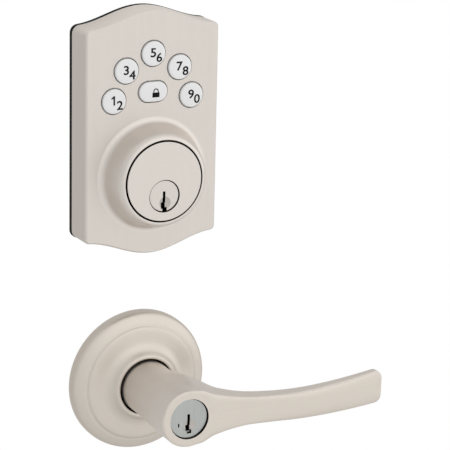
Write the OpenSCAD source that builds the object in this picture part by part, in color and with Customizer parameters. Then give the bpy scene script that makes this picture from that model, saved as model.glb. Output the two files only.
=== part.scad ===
// Keypad deadbolt with a keyed lever below it, as fitted to a door, in millimetres.
// X runs right as seen from outside, Y runs into the door and Z runs up.
// The origin is on the key plug's axis, at the door's outer face.

/* [Door] */
// Thickness of the door between the two halves
door_t = 44.5; // [42:0.5:48]
// Distance from the cross bores to the door's edge
backset = 60.3; // [60:0.1:61]
// Height of the deadbolt above the lever
lock_spacing = 101.6; // [100:0.1:104]

/* [Keypad cover] */
// Width of the cover where it meets the door
cover_w = 71; // [70:0.5:73]
// Height of the cover's shoulders above the plug
cover_top = 78.8; // [78:0.1:80]
// Height of the cover's lower shoulders, below the plug
cover_bottom = -24.6; // [-26:0.1:-24]
// Rise of the arched top and bottom past the shoulders
arch_rise = 7.9; // [6:0.1:9]
// How far the cover's front stands off the door
cover_depth = 16.9; // [16.5:0.1:18]
// Thickness of the rubber seal
gasket_t = 2.4; // [1.6:0.1:2.6]
// Thickness of the cover's front wall
cover_wall = 2; // [1.6:0.1:2.2]

/* [Keys] */
// Diameter of a round key
key_d = 12.5; // [12:0.1:12.8]
// Travel of a key
key_travel = 0.8; // [0.4:0.1:0.8]
// How far the keys stand out of the cover
key_proud = 0.7; // [0.4:0.1:1]

/* [Cylinder] */
// Radius of the cylinder's round face
face_r = 19.2; // [18.8:0.1:19.3]
// Height of that face's centre above the plug
face_z = 7.1; // [6.8:0.1:7.4]
// How far the face stands off the door
face_y = 31.4; // [31:0.1:32]
// Radius of the key plug
plug_r = 7.6; // [7.5:0.05:7.7]
// Width of the torque blade
blade_w = 7; // [6:0.1:7]
// Thickness of the torque blade
blade_t = 2; // [1.6:0.1:2.2]

/* [Bolt and latch] */
// Travel of the deadbolt
bolt_throw = 25.4; // [25:0.1:25.4]
// Travel of the spring latch
latch_throw = 12.7; // [12:0.1:12.7]
// Radius of the bolt and the latch
bolt_r = 11; // [10.6:0.1:11]
// Width of a faceplate
faceplate_w = 25.4; // [25:0.1:28]
// Height of a faceplate
faceplate_h = 57.2; // [56:0.1:60]
// Height between a faceplate's two screw holes
faceplate_pitch = 41.3; // [40:0.1:43]

/* [Lever] */
// Radius of the rose
rose_r = 35.7; // [35:0.1:36]
// How far the rose's hub stands off the door
rose_h = 14.8; // [14.5:0.1:15]
// Radius of the lever's neck
neck_r = 13.3; // [13:0.1:13.5]
// How far the lever's front stands off the door
lever_y = 62.3; // [61:0.1:64]
// Radius of the lever's round head
head_r = 14.1; // [13.8:0.1:14.4]
// Length of the lever from its axis
lever_len = 107; // [100:1:115]

/* [Inside unit] */
// Width of the inside cover
inside_w = 74; // [73:0.5:76]
// Lowest point of the inside cover
inside_z0 = -33; // [-34:0.5:-32]
// Highest point of the battery cover
inside_z1 = 110; // [109:0.5:113]
// Depth of the inside cover from the door
inside_depth = 27.5; // [27:0.5:29]
// Height at which the battery cover starts
split_z = 44; // [43.5:0.5:44.5]

/* [Gears] */
// Teeth on the thumbturn's gear
turn_teeth = 45; // [45:1:45]
// Teeth on the motor's gear
drive_teeth = 18; // [18:1:18]
// Gear module
gear_m = 0.8; // [0.8:0.01:0.8]

/* [Hidden] */
$fn = 64;
over = 1;
mid_y = door_t / 2;
lever_z = -lock_spacing;
nickel = [0.80, 0.78, 0.75];
steel = [0.70, 0.71, 0.72];
brass = [0.80, 0.66, 0.36];
black = [0.06, 0.06, 0.06];
white = [0.93, 0.93, 0.93];
board_green = [0.08, 0.36, 0.20];
grey = [0.32, 0.33, 0.35];
// Key centres, as x and height above the plug
key_56 = [0, 65.8];
key_34 = [-13.8, 58.4];
key_78 = [13.8, 58.4];
key_12 = [-20.1, 44.4];
key_90 = [20.1, 44.4];
key_lock = [0, 47.5];
round_keys = [key_12, key_34, key_56, key_78, key_90];
lock_key_r = 5.1;
lock_key_half = 2.45;
key_gap = 0.2;
flange_extra = 1.05;
flange_front = cover_wall - cover_depth + 0.3;
flange_back = flange_front + 1.4;
plate_back = -2;
plate_front = -4.4;
pin_rows = [-25, -21, -17, -13, -9];
post_x = 20;
lever_post_x = 20.5;
post_r = 3.5;
screw_r = 2;
cover_screws_at = [[-27, 72], [27, 72], [-27, -17], [27, -17]];
inside_screw_x = 26;
inside_screw_z = -21;
board_front = -9.8;
board_back = -8.2;
ribbon_x0 = 9;
ribbon_x1 = 16;
ribbon_z = 19.5;
ribbon_t = 0.9;
ribbon_top = 44;
inside_ribbon_top = 40;
plate_y1 = door_t + 1.6;
tray_y0 = door_t + 4.5;
tray_y1 = tray_y0 + 1.6;
gear_y0 = tray_y1 + 0.9;
gear_y1 = gear_y0 + 4;
gear_z = gear_m * (turn_teeth + drive_teeth) / 2;
bracket_y0 = gear_y1 + 1;
bracket_y1 = bracket_y0 + 1.5;
inside_front = door_t + inside_depth;
inside_wall = 2;
cell_r = 7.1;
cell_x = [-22.8, -7.6, 7.6, 22.8];
cell_y = door_t + 16;
cell_z0 = 49.8;
cell_len = 50.5;
// The crank pin swings 45 degrees to each side of straight down
crank_r = bolt_throw / 2 / sin(45);
crank_pin_r = 1.8;
crank_slack = 0.9;
// The latch's arm swings 25 degrees to each side of straight up
lever_swing = 50;
arm_r = latch_throw / 2 / sin(lever_swing / 2);
arm_pin_r = 1.6;
arm_slack = 0.6;
case_half_y = 6.2;
case_wall = 1.2;
case_half_z = 10.2;
tail_y0 = mid_y - 0.55;
tail_y1 = mid_y + 2.45;
crank_y0 = mid_y - 3.75;
crank_y1 = mid_y - 1.05;
bar_half = 4;

// Shapes used by several pieces

// Round bar along Y
module rod_y(r, y0, y1, x = 0, z = 0) {
    translate([x, y0, z]) rotate([-90, 0, 0]) cylinder(r = r, h = y1 - y0);
}

// Round bar along X
module rod_x(r, x0, x1, y = 0, z = 0) {
    translate([x0, y, z]) rotate([0, 90, 0]) cylinder(r = r, h = x1 - x0);
}

// Round bar along Z
module rod_z(r, z0, z1, x = 0, y = 0) {
    translate([x, y, z0]) cylinder(r = r, h = z1 - z0);
}

// Tube along Y
module tube_y(outer, inner, y0, y1, x = 0, z = 0) {
    difference() {
        rod_y(outer, y0, y1, x, z);
        rod_y(inner, y0 - over, y1 + over, x, z);
    }
}

// Rectangular block between two corners
module block(low, high) {
    translate(low) cube(high - low);
}

// Flat outline in X and Z, made solid from y0 to y1
module slab(y0, y1) {
    translate([0, y1, 0]) rotate([90, 0, 0]) linear_extrude(y1 - y0) children();
}

// Outline of radius and y, turned about an axis along Y at height z
module turned(z = 0) {
    translate([0, 0, z]) rotate([-90, 0, 0]) rotate_extrude() children();
}

// The inside half is the outside half seen in the door's mid plane
module to_inside() {
    translate([0, door_t, 0]) mirror([0, 1, 0]) children();
}

// Closed skin through rings of points, each ring turning left as seen from the last ring's side
module loft(rings) {
    n = len(rings[0]);
    last = (len(rings) - 1) * n;
    polyhedron(
        points = [for (ring = rings) each ring],
        faces = concat(
            [[for (i = [0:n - 1]) i]],
            [[for (i = [n - 1:-1:0]) last + i]],
            [for (j = [0:len(rings) - 2], i = [0:n - 1])
                [j * n + i, (j + 1) * n + i, (j + 1) * n + (i + 1) % n]],
            [for (j = [0:len(rings) - 2], i = [0:n - 1])
                [j * n + i, (j + 1) * n + (i + 1) % n, j * n + (i + 1) % n]]
        )
    );
}

// Height of the arch above its shoulder, a half wave each side of the middle
function arch(x, half, rise) = rise * (1 + cos(180 * x / half)) / 2;

// Points of a quarter circle's inside, without its last point on the edge it meets
function corner(x, z, r, angles) = [for (a = angles) [x + r * cos(a), z + r * sin(a)]];

// Arched outline, with rounded corners
function arched(half, top, bottom, rise, r) =
    let (
        flat = half - r,
        lift = arch(flat, half, rise),
        low = bottom - lift + r,
        high = top + lift - r,
        xs = [for (i = [-8:8]) i / 8 * flat]
    )
    concat(
        [for (x = xs) [x, bottom - arch(x, half, rise)]],
        corner(flat, low, r, [-60, -30, 0]),
        corner(flat, high, r, [0, 30, 60]),
        [for (x = xs) [-x, top + arch(x, half, rise)]],
        corner(-flat, high, r, [120, 150, 180]),
        corner(-flat, low, r, [180, 210, 240])
    );

// Outline of the keypad cover, drawn in by a distance
module cover_outline(inset) {
    polygon(arched(cover_w / 2 - inset, cover_top - inset, cover_bottom + inset, arch_rise, 4 - inset / 2));
}

// Outline of the keypad cover at one depth, as a ring of points
function cover_ring(y, side, ends, r) = [
    for (p = arched(cover_w / 2 - side, cover_top - ends, cover_bottom + 2 * ends, arch_rise, r))
        [p[0], y, p[1]]
];

// Rectangle with round corners
module round_rect(half, z0, z1, r) {
    for (x = [-1, 1], z = [z0 + r, z1 - r])
        translate([x * (half - r), z]) circle(r);
    translate([-half, z0 + r]) square([2 * half, z1 - z0 - 2 * r]);
    translate([r - half, z0]) square([2 * (half - r), z1 - z0]);
}

// Stadium, long along X
module stadium(r, half) {
    for (side = [-1, 1]) translate([side * half, 0]) circle(r);
    translate([-half, -r]) square([2 * half, 2 * r]);
}

// Spur gear blank with straight flanked teeth, thinned for backlash
module gear_outline(teeth, phase) {
    pitch = gear_m * teeth / 2;
    root = pitch - 1.2 * gear_m;
    tip = pitch + 0.8 * gear_m;
    step = 360 / teeth;
    circle(root + 0.02);
    for (i = [0:teeth - 1])
        rotate(phase + i * step)
            polygon([
                for (c = [[root - 0.3, 0.31], [pitch, 0.215], [tip, 0.1]])
                    [c[0] * cos(c[1] * step), -c[0] * sin(c[1] * step)],
                for (c = [[tip, 0.1], [pitch, 0.215], [root - 0.3, 0.31]])
                    [c[0] * cos(c[1] * step), c[0] * sin(c[1] * step)]
            ]);
}

// Slot for the torque blade
module blade_slot(y0, y1) {
    slack = 0.15;
    block([-blade_t / 2 - slack, y0, -blade_w / 2 - slack], [blade_t / 2 + slack, y1, blade_w / 2 + slack]);
}

// Outside half of the keypad deadbolt

module exterior_gasket() {
    color(black)
        slab(-gasket_t, 0)
            difference() {
                cover_outline(0);
                cover_outline(3.5);
            }
}

module dome() {
    turned(face_z)
        polygon([
            [27.3, -16.8], [26.2, -17.3], [25.3, -18.6], [24.7, -20.5], [22.7, -28.4],
            [22.1, -30.1], [21.3, -31], [20.3, -31.3], [19.7, -31.2], [19.6, -30.8],
            [19.6, -27.6], [20.8, -27], [23, -18], [23, -15], [27.3, -15]
        ]);
}

module exterior_housing() {
    cavity_side = 2.1;
    boss_r = 3;
    color(nickel) {
        difference() {
            loft([
                cover_ring(-gasket_t, 0.2, 0.1, 4),
                cover_ring(-10, 0.6, 0.1, 3.4),
                cover_ring(-15.6, 1.1, 0.2, 2.4),
                cover_ring(-16.5, 1.7, 0.35, 1.8),
                cover_ring(-cover_depth, 2.4, 0.5, 1.2)
            ]);
            slab(cover_wall - cover_depth, over) cover_outline(cavity_side);
            rod_y(23, -cover_depth - over, 0, 0, face_z);
            for (k = round_keys)
                rod_y(key_d / 2 + key_gap, -cover_depth - over, 0, k[0], k[1]);
            slab(-cover_depth - over, 0) translate(key_lock) stadium(lock_key_r + key_gap, lock_key_half);
        }
        dome();
        for (p = cover_screws_at)
            tube_y(boss_r, 1.35, cover_wall - cover_depth, plate_front, p[0], p[1]);
    }
}

module exterior_chassis() {
    color(grey) {
        difference() {
            union() {
                slab(plate_front, plate_back) cover_outline(4);
                for (side = [-1, 1]) rod_y(post_r, plate_front, 8, side * post_x);
                for (x = [-20, 20], z = [40, 70]) rod_y(2, board_back, plate_front, x, z);
            }
            rod_y(9, plate_front - over, over);
            for (side = [-1, 1]) rod_y(screw_r + 0.05, plate_front - over, 9, side * post_x);
            for (p = cover_screws_at) rod_y(1.6, plate_front - over, over, p[0], p[1]);
            block([ribbon_x0 - 0.5, plate_front - over, ribbon_z - 0.6],
                [ribbon_x1 + 0.5, over, ribbon_z + ribbon_t + 0.6]);
        }
    }
}

module chassis_screws() {
    color(steel)
        for (p = cover_screws_at) {
            rod_y(1.3, -12, plate_back, p[0], p[1]);
            rod_y(2.6, plate_back, plate_back + 1.6, p[0], p[1]);
        }
}

module keypad_membrane() {
    color(grey) {
        slab(-11, board_front) board_outline(24, 36.5, 75);
        for (k = round_keys) rod_y(4, -12.1, -11, k[0], k[1]);
        slab(-12.1, -11) translate(key_lock) stadium(3.4, lock_key_half);
    }
}

// Board outline, with corners of a 2 mm radius
module board_outline(half, z0, z1) {
    round_rect(half, z0, z1, 2);
}

module keypad_circuit_board() {
    color(board_green) {
        slab(board_front, board_back) board_outline(23, 37, 75);
        block([ribbon_x0 - 1, board_back, ribbon_top - 4], [ribbon_x1 + 1, board_back + 1.3, ribbon_top]);
        block([-8, board_back, 50], [4, board_back + 1.6, 62]);
    }
}

// Flat cable from the keypad board, through the door, to the inside board
module keypad_cable() {
    start_y = board_back + 1.3;
    end_y = plate_y1 + 0.9;
    color(black) {
        block([ribbon_x0, start_y, ribbon_z], [ribbon_x1, start_y + ribbon_t, ribbon_top]);
        block([ribbon_x0, start_y, ribbon_z], [ribbon_x1, end_y + ribbon_t, ribbon_z + ribbon_t]);
        block([ribbon_x0, end_y, ribbon_z], [ribbon_x1, end_y + ribbon_t, inside_ribbon_top]);
        block([ribbon_x0, end_y, inside_ribbon_top - ribbon_t],
            [ribbon_x1, gear_y0 + 0.5, inside_ribbon_top]);
    }
}

module round_key(at) {
    color(white) {
        rod_y(key_d / 2, -cover_depth - key_proud, flange_back, at[0], at[1]);
        rod_y(key_d / 2 + flange_extra, flange_front, flange_back, at[0], at[1]);
    }
}

module button_1_2() { round_key(key_12); }
module button_3_4() { round_key(key_34); }
module button_5_6() { round_key(key_56); }
module button_7_8() { round_key(key_78); }
module button_9_0() { round_key(key_90); }

module lock_button() {
    color(white) {
        slab(-cover_depth - key_proud, flange_back) translate(key_lock) stadium(lock_key_r, lock_key_half);
        slab(flange_front, flange_back) translate(key_lock) stadium(lock_key_r + 0.9, lock_key_half);
    }
}

module deadbolt_cylinder() {
    tower = 5.5;
    tower_top = 22.5;
    color(nickel)
        difference() {
            union() {
                rod_y(face_r, -face_y, -27.4, 0, face_z);
                rod_y(10.4, -28, plate_front);
                block([-tower, -28, 0], [tower, plate_front, tower_top]);
            }
            rod_y(plug_r + 0.05, -face_y - over, 0);
            for (y = pin_rows) rod_z(1.6, 5, tower_top + over, 0, y);
        }
}

// Keyway of a plug whose front is the deadbolt's, down to a height below the axis
module keyway(bottom) {
    y0 = -face_y - over;
    y1 = -6;
    block([-0.45, y0, -3.4], [0.45, y1, 2.05]);
    block([-1.3, y0, -6.2], [0.45, y1, -3]);
    block([-0.6, y0, bottom], [1.2, y1, -5.6]);
}

module deadbolt_plug() {
    color(nickel)
        difference() {
            union() {
                rod_y(plug_r, -face_y + 0.5, plate_front);
                rod_y(5.5, plate_front - over, -0.8);
            }
            keyway(-plug_r - over);
            for (y = pin_rows) rod_z(1.6, 1.5, plug_r + over, 0, y);
            rod_y(4.3, -5.9, over);
        }
}

module key_pins() {
    color(brass)
        for (y = pin_rows) rod_z(1.5, 2.3, 7.4, 0, y);
}

module driver_pins() {
    color(brass)
        for (y = pin_rows) {
            rod_z(1.5, 7.8, 12, 0, y);
            rod_z(1.5, 20, 22.3, 0, y);
        }
}

module pin_springs() {
    color(steel)
        for (y = pin_rows)
            difference() {
                rod_z(1.4, 12.1, 19.9, 0, y);
                rod_z(0.9, 11, 21, 0, y);
            }
}

module cylinder_clip() {
    color(steel)
        difference() {
            tube_y(7.4, 5.55, -4.1, -3.3);
            block([-1.5, -5, -9], [1.5, -3, 0]);
        }
}

module torque_blade() {
    color(steel)
        block([-blade_t / 2, -5.5, -blade_w / 2], [blade_t / 2, door_t + 17.5, blade_w / 2]);
}

// Deadbolt in the door

// Round bar with flats, as the bolt and the latch have
module bolt_bar(x0, x1, z) {
    intersection() {
        rod_x(bolt_r, x0, x1, mid_y, z);
        block([x0, mid_y - 6.5, z - bolt_r], [x1, mid_y + 6.5, z + bolt_r]);
    }
}

// Plate on the door's edge, with a hole for the bolt and two countersunk screw holes
module faceplate(z) {
    plate_t = 2.4;
    difference() {
        translate([-backset, mid_y, z])
            rotate([90, 0, 90])
                linear_extrude(plate_t)
                    round_rect(faceplate_w / 2, -faceplate_h / 2, faceplate_h / 2, 3);
        rod_x(bolt_r + 0.3, -backset - over, -backset + plate_t + over, mid_y, z);
        for (side = [-1, 1])
            translate([-backset, mid_y, z + side * faceplate_pitch / 2])
                rotate([0, 90, 0]) {
                    translate([0, 0, -over]) cylinder(r = 2.3, h = plate_t + 2 * over);
                    translate([0, 0, -0.01]) cylinder(r1 = 4, r2 = 2.3, h = 1.5);
                }
    }
}

module sleeve(x1, z) {
    difference() {
        rod_x(12.4, -backset + 2.4, x1, mid_y, z);
        rod_x(bolt_r + 0.3, -backset, x1 + over, mid_y, z);
    }
}

// Two side plates joined by a web, with holes for the hub and the through screw
module bolt_case(x0, x1, z, web_z, hub_hole, screw_x) {
    outer = case_half_y + case_wall;
    difference() {
        union() {
            for (side = [-1, 1])
                block([x0, mid_y + side * outer - (side > 0 ? case_wall : 0), z - case_half_z],
                    [x1, mid_y + side * outer + (side > 0 ? 0 : case_wall), z + case_half_z]);
            block([x0, mid_y - outer, z + web_z - 0.5], [x1, mid_y + outer, z + web_z + 0.5]);
        }
        rod_y(hub_hole, 0, door_t, 0, z);
        rod_y(2.6, 0, door_t, screw_x, z);
    }
}

module deadbolt_bolt() {
    bar_z0 = -9.8;
    bar_z1 = -6.6;
    pin_x = bolt_throw / 2;
    reach = crank_pin_r + crank_slack;
    color(steel) {
        bolt_bar(-backset, -26, 0);
        block([-27, tail_y0, bar_z0], [pin_x - reach, tail_y1, bar_z1]);
        difference() {
            block([pin_x - reach - 1.8, tail_y0, -19.6], [pin_x + reach + 1.8, tail_y1, bar_z1]);
            block([pin_x - reach, 0, -21], [pin_x + reach, door_t, -10.4]);
        }
    }
}

module deadbolt_tube() {
    color(steel) sleeve(-25.8, 0);
}

module deadbolt_case() {
    color(steel) bolt_case(-25.8, 14, 0, 9.7, 6.3, -post_x);
}

module deadbolt_cam() {
    pin = bolt_throw / 2;
    color(brass)
        difference() {
            union() {
                rod_y(6, mid_y - 7.8, mid_y + 7.8);
                rotate([0, 45, 0]) block([0, crank_y0 + 0.2, -2.1], [crank_r, crank_y1 - 0.2, 2.1]);
                rod_y(2.6, crank_y0, crank_y1, pin, -pin);
                rod_y(crank_pin_r, crank_y0, tail_y1, pin, -pin);
            }
            blade_slot(0, door_t);
        }
}

module deadbolt_faceplate() {
    color(nickel) faceplate(0);
}

// Inside half of the keypad deadbolt

module interior_plate() {
    color(steel)
        difference() {
            slab(door_t, plate_y1) round_rect(31, -26.5, 103.5, 6);
            rod_y(8, door_t - over, plate_y1 + over);
            for (side = [-1, 1]) rod_y(screw_r + 0.3, door_t - over, plate_y1 + over, side * post_x);
            block([ribbon_x0 - 0.5, door_t - over, ribbon_z - 0.6],
                [ribbon_x1 + 0.5, plate_y1 + over, ribbon_z + ribbon_t + 0.6]);
        }
}

module through_screws() {
    color(steel)
        for (side = [-1, 1]) {
            rod_y(screw_r, 0, plate_y1, side * post_x);
            difference() {
                rod_y(4, plate_y1, plate_y1 + 2.2, side * post_x);
                block([side * post_x - 3, plate_y1 + 1.2, -0.5], [side * post_x + 3, plate_y1 + 3, 0.5]);
            }
        }
}

module interior_chassis() {
    wall_top = door_t + 21.5;
    color(grey)
        difference() {
            union() {
                slab(tray_y0, tray_y1) round_rect(33, -27, 104.2, 4);
                for (x = [-28, 28]) rod_y(3, plate_y1, tray_y1, x, 42);
                for (side = [-1, 1]) rod_y(3, plate_y1, tray_y1, side * inside_screw_x, inside_screw_z);
                for (z = [46.5, 103]) block([-31, tray_y1 - 0.1, z], [31, wall_top, z + 1.5]);
                for (x = [-15.2, 0, 15.2]) block([x - 0.3, tray_y1 - 0.1, 48], [x + 0.3, tray_y1 + 3, 103]);
                for (x = [-10.5, 10.5]) rod_y(2, tray_y1 - 0.1, bracket_y0, x, 32);
                slab(bracket_y0, bracket_y1) translate([0, 26]) square([26, 17], center = true);
                for (side = [-1, 1])
                    rod_y(2.6, tray_y1 - 0.1, inside_front - inside_wall - 0.1,
                        side * inside_screw_x, inside_screw_z);
            }
            rod_y(8, tray_y0 - over, tray_y1 + over);
            for (side = [-1, 1]) rod_y(4.4, tray_y0 - over, tray_y1 + over, side * post_x);
            block([ribbon_x0 - 0.5, tray_y0 - over, inside_ribbon_top - 1.5],
                [ribbon_x1 + 0.5, tray_y1 + 0.9, inside_ribbon_top + 0.6]);
            rod_y(5, bracket_y0 - over, bracket_y1 + over, 0, gear_z);
            for (side = [-1, 1])
                rod_y(1.25, plate_y1 + over, inside_front, side * inside_screw_x, inside_screw_z);
        }
}

// Outline of the inside cover at one depth, as a ring of points
function inside_ring(y, inset, r) = [
    for (p = arched(inside_w / 2 - inset, inside_z1 - 3 - inset, inside_z0 + 3 + inset, 3, r))
        [p[0], y, p[1]]
];

module inside_shell() {
    difference() {
        loft([
            inside_ring(inside_front, 4, 5),
            inside_ring(inside_front - 0.8, 2.2, 6),
            inside_ring(inside_front - 2.4, 0.9, 6.6),
            inside_ring(inside_front - 6, 0.3, 7),
            inside_ring(door_t + 0.5, 0, 7)
        ]);
        slab(0, inside_front - inside_wall)
            polygon(arched(inside_w / 2 - 2.3, inside_z1 - 5.3, inside_z0 + 5.3, 3, 5));
    }
}

module interior_cover() {
    color(nickel)
        difference() {
            intersection() {
                inside_shell();
                block([-50, 0, -60], [50, 100, split_z]);
            }
            rod_y(12.6, door_t, inside_front + over);
            for (side = [-1, 1])
                rod_y(1.7, door_t, inside_front + over, side * inside_screw_x, inside_screw_z);
        }
}

module battery_cover() {
    color(black)
        intersection() {
            inside_shell();
            block([-50, 0, split_z + 0.4], [50, 100, 150]);
        }
}

module batteries() {
    color(grey)
        for (x = cell_x) {
            rod_z(cell_r, cell_z0, cell_z0 + cell_len - 1.2, x, cell_y);
            rod_z(2.7, cell_z0 + cell_len - 1.3, cell_z0 + cell_len, x, cell_y);
        }
}

module battery_contacts() {
    color(steel)
        for (x = cell_x) {
            block([x - 5, cell_y - 5, cell_z0 + cell_len], [x + 5, cell_y + 5, cell_z0 + cell_len + 0.6]);
            block([x - 5, cell_y - 5, 48], [x + 5, cell_y + 5, 48.5]);
            rod_z(2.8, 48.5, cell_z0, x, cell_y);
        }
}

module interior_circuit_board() {
    y0 = gear_y0 + 0.5;
    color(board_green) {
        slab(y0, y0 + 1.6) polygon([[10, 36], [10, 45], [33, 45], [33, -17], [21.5, -17], [21.5, 36]]);
        block([ribbon_x0 + 1.5, y0 + 1.6, 38], [ribbon_x1 + 1.5, y0 + 4.6, 43]);
        block([23, y0 + 1.6, 10], [31, y0 + 3, 20]);
    }
}

module gear_motor() {
    color(steel) {
        difference() {
            rod_y(7.5, bracket_y1, inside_front - 3.5, 0, gear_z);
            block([-8, bracket_y1 + 3, gear_z + 6], [8, inside_front, gear_z + 9]);
        }
        rod_y(1.5, gear_y0, bracket_y1 + over, 0, gear_z);
    }
}

module drive_gear() {
    color(brass)
        difference() {
            slab(gear_y0, gear_y1) translate([0, gear_z]) gear_outline(drive_teeth, 10);
            rod_y(1.55, gear_y0 - over, gear_y1 + over, 0, gear_z);
        }
}

module turn_gear() {
    color(white)
        difference() {
            union() {
                slab(gear_y0, gear_y1) gear_outline(turn_teeth, 6);
                rod_y(7, tray_y1 + 0.3, bracket_y0 - 0.4);
            }
            blade_slot(0, inside_front);
        }
}

module thumbturn() {
    hub_y = inside_front - 3;
    color(nickel)
        difference() {
            union() {
                rod_y(5, bracket_y0, hub_y + over);
                rod_y(12, hub_y, inside_front + 3);
                block([-4.5, inside_front + 2, -12.5], [4.5, inside_front + 17, 12.5]);
                for (z = [-12.5, 12.5]) rod_y(4.5, inside_front + 2.9, inside_front + 17, 0, z);
            }
            blade_slot(0, door_t + 18);
        }
}

module cover_screws() {
    color(steel)
        for (side = [-1, 1]) {
            rod_y(1.2, inside_front - 12, inside_front + 0.1, side * inside_screw_x, inside_screw_z);
            rod_y(2.8, inside_front, inside_front + 1.2, side * inside_screw_x, inside_screw_z);
        }
}

// Keyed lever, outside half

module exterior_rose() {
    color(nickel)
        turned(lever_z)
            polygon([
                [rose_r, 0], [rose_r, -3], [rose_r - 0.5, -4.8], [rose_r - 1.6, -6.2], [29.6, -8.1],
                [28.7, -8.9], [24, -9.9], [20.2, -10.7], [17.6, -12.3], [15.9, -rose_h + 0.5],
                [15.2, -rose_h], [14.3, -rose_h], [14, -rose_h + 0.4], [14, -11.5], [15.4, -11],
                [18, -9.2], [23.5, -8.3], [28, -7.3], [33, -4.6], [34.2, -3], [34.2, 0]
            ]);
}

module exterior_rose_liner() {
    color(steel)
        difference() {
            union() {
                rod_y(33.6, -2.6, -0.4, 0, lever_z);
                rod_y(12.6, -7, -2.6, 0, lever_z);
                for (side = [-1, 1]) rod_y(post_r, -2.6, 8, side * lever_post_x, lever_z);
            }
            rod_y(11.3, -8, over, 0, lever_z);
            for (side = [-1, 1]) rod_y(screw_r + 0.05, -3.6, 9, side * lever_post_x, lever_z);
        }
}

// Coil of three turns round the drive tube, with one leg
module exterior_return_spring() {
    color(steel) {
        turned(lever_z)
            for (y = [-6.4, -4.9, -3.4]) translate([14.2, y]) circle(0.7);
        block([13.7, -6.4, lever_z - 1], [14.7, -3.4, lever_z + 1]);
    }
}

module exterior_drive_tube() {
    color(steel)
        difference() {
            rod_y(11, -24, -0.8, 0, lever_z);
            rod_y(9.4, -25, -3.5, 0, lever_z);
            block([-bar_half - 0.05, -5, lever_z - bar_half - 0.05],
                [bar_half + 0.05, over, lever_z + bar_half + 0.05]);
        }
}

// Edges of the lever's arm at a distance from its axis: lower, upper, front and back
arm_sections = [
    [2, -12.6, 13, -lever_y, -38],
    [10, -11.2, 11.6, -lever_y, -40],
    [18, -9.6, 9.2, -lever_y, -46],
    [30, -8.3, 6.4, -lever_y, -51.6],
    [45, -9.4, 4.8, -lever_y, -52.6],
    [60, -10.5, 4.2, -lever_y + 0.3, -53],
    [78, -10.7, 5, -lever_y + 0.8, -53.6],
    [94, -9.9, 6.8, -lever_y + 1.2, -54.4],
    [103, -9, 8, -lever_y + 1.4, -55],
    [lever_len - 0.8, -7.8, 7, -lever_y + 2, -56.2],
    [lever_len, -6, 5.4, -lever_y + 2.8, -57.2]
];

function signed_power(v, p) = sign(v) * pow(abs(v), p);

// Rounded rectangular section of the arm, as a ring of points
function arm_ring(s) = [
    for (i = [0:23])
        let (a = i * 15, p = 0.6)
            [
                s[0],
                (s[3] + s[4]) / 2 + (s[4] - s[3]) / 2 * signed_power(cos(a), p),
                lever_z + (s[1] + s[2]) / 2 + (s[2] - s[1]) / 2 * signed_power(sin(a), p)
            ]
];

module lever_body() {
    turned(lever_z)
        polygon([
            [0, -8], [neck_r, -8], [neck_r, -26], [13.7, -36], [head_r, -46],
            [head_r, -lever_y + 0.4], [head_r - 0.4, -lever_y], [0, -lever_y]
        ]);
    loft([for (s = arm_sections) arm_ring(s)]);
}

module exterior_lever() {
    color(nickel)
        difference() {
            lever_body();
            rod_y(11.05, -24.5, 0, 0, lever_z);
            rod_y(5.9, -37, -8, 0, lever_z);
            rod_y(10.05, -lever_y - over, -36, 0, lever_z);
        }
}

module lever_cylinder() {
    color(nickel)
        difference() {
            rod_y(10, -lever_y + 2.4, -36.2, 0, lever_z);
            rod_y(6.6, -lever_y, -36, 0, lever_z);
        }
}

module lever_plug() {
    front = -lever_y + 1;
    color(nickel)
        difference() {
            union() {
                rod_y(9.75, front, front + 1.3, 0, lever_z);
                rod_y(6.5, front + 1, -36.6, 0, lever_z);
            }
            translate([0, -lever_y + face_y, lever_z]) keyway(-7.5);
            block([-5.6, front - over, lever_z - 3.6], [-4.9, front + 1, lever_z - 1.8]);
        }
}

// Latch in the door

module latch_bolt() {
    nose = -backset - latch_throw;
    bar_z0 = lever_z + 7.9;
    pin_x = -latch_throw / 2;
    reach = arm_pin_r + arm_slack;
    color(steel) {
        difference() {
            bolt_bar(nose, -40, lever_z);
            translate([nose, mid_y - 3.5, lever_z - 15]) rotate([0, 0, 44]) block([-30, 0, 0], [30, 30, 30]);
        }
        block([-41, tail_y0, bar_z0], [pin_x - reach, tail_y1, bar_z0 + 3]);
        difference() {
            block([pin_x - reach - 1.8, tail_y0, bar_z0], [pin_x + reach + 1.8, tail_y1, lever_z + 17]);
            block([pin_x - reach, 0, lever_z + 11.4], [pin_x + reach, door_t, lever_z + 20]);
        }
    }
}

module latch_tube() {
    color(steel) sleeve(-27.2, lever_z);
}

module latch_case() {
    color(steel) {
        bolt_case(-27.2, 14, lever_z, -9.7, 7.5, -lever_post_x);
        block([-13, mid_y - 6.3, lever_z - 9.5], [-12, mid_y + 6.3, lever_z - 2.5]);
    }
}

module latch_cam() {
    pin_x = -latch_throw / 2;
    pin_z = arm_r * cos(lever_swing / 2);
    color(brass)
        difference() {
            union() {
                rod_y(7.2, mid_y - 7.8, mid_y + 7.8, 0, lever_z);
                translate([0, 0, lever_z])
                    rotate([0, -lever_swing / 2, 0])
                        block([-2, crank_y0 + 0.2, 0], [2, crank_y1 - 0.2, arm_r]);
                rod_y(2.4, crank_y0, crank_y1, pin_x, lever_z + pin_z);
                rod_y(arm_pin_r, crank_y0, tail_y1, pin_x, lever_z + pin_z);
            }
            block([-bar_half - 0.1, 0, lever_z - bar_half - 0.1],
                [bar_half + 0.1, door_t, lever_z + bar_half + 0.1]);
        }
}

module latch_spring() {
    color(steel)
        difference() {
            rod_x(2.2, -40, -13, mid_y, lever_z - 5.2);
            rod_x(1.6, -41, -12, mid_y, lever_z - 5.2);
        }
}

module latch_faceplate() {
    color(nickel) faceplate(lever_z);
}

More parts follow.
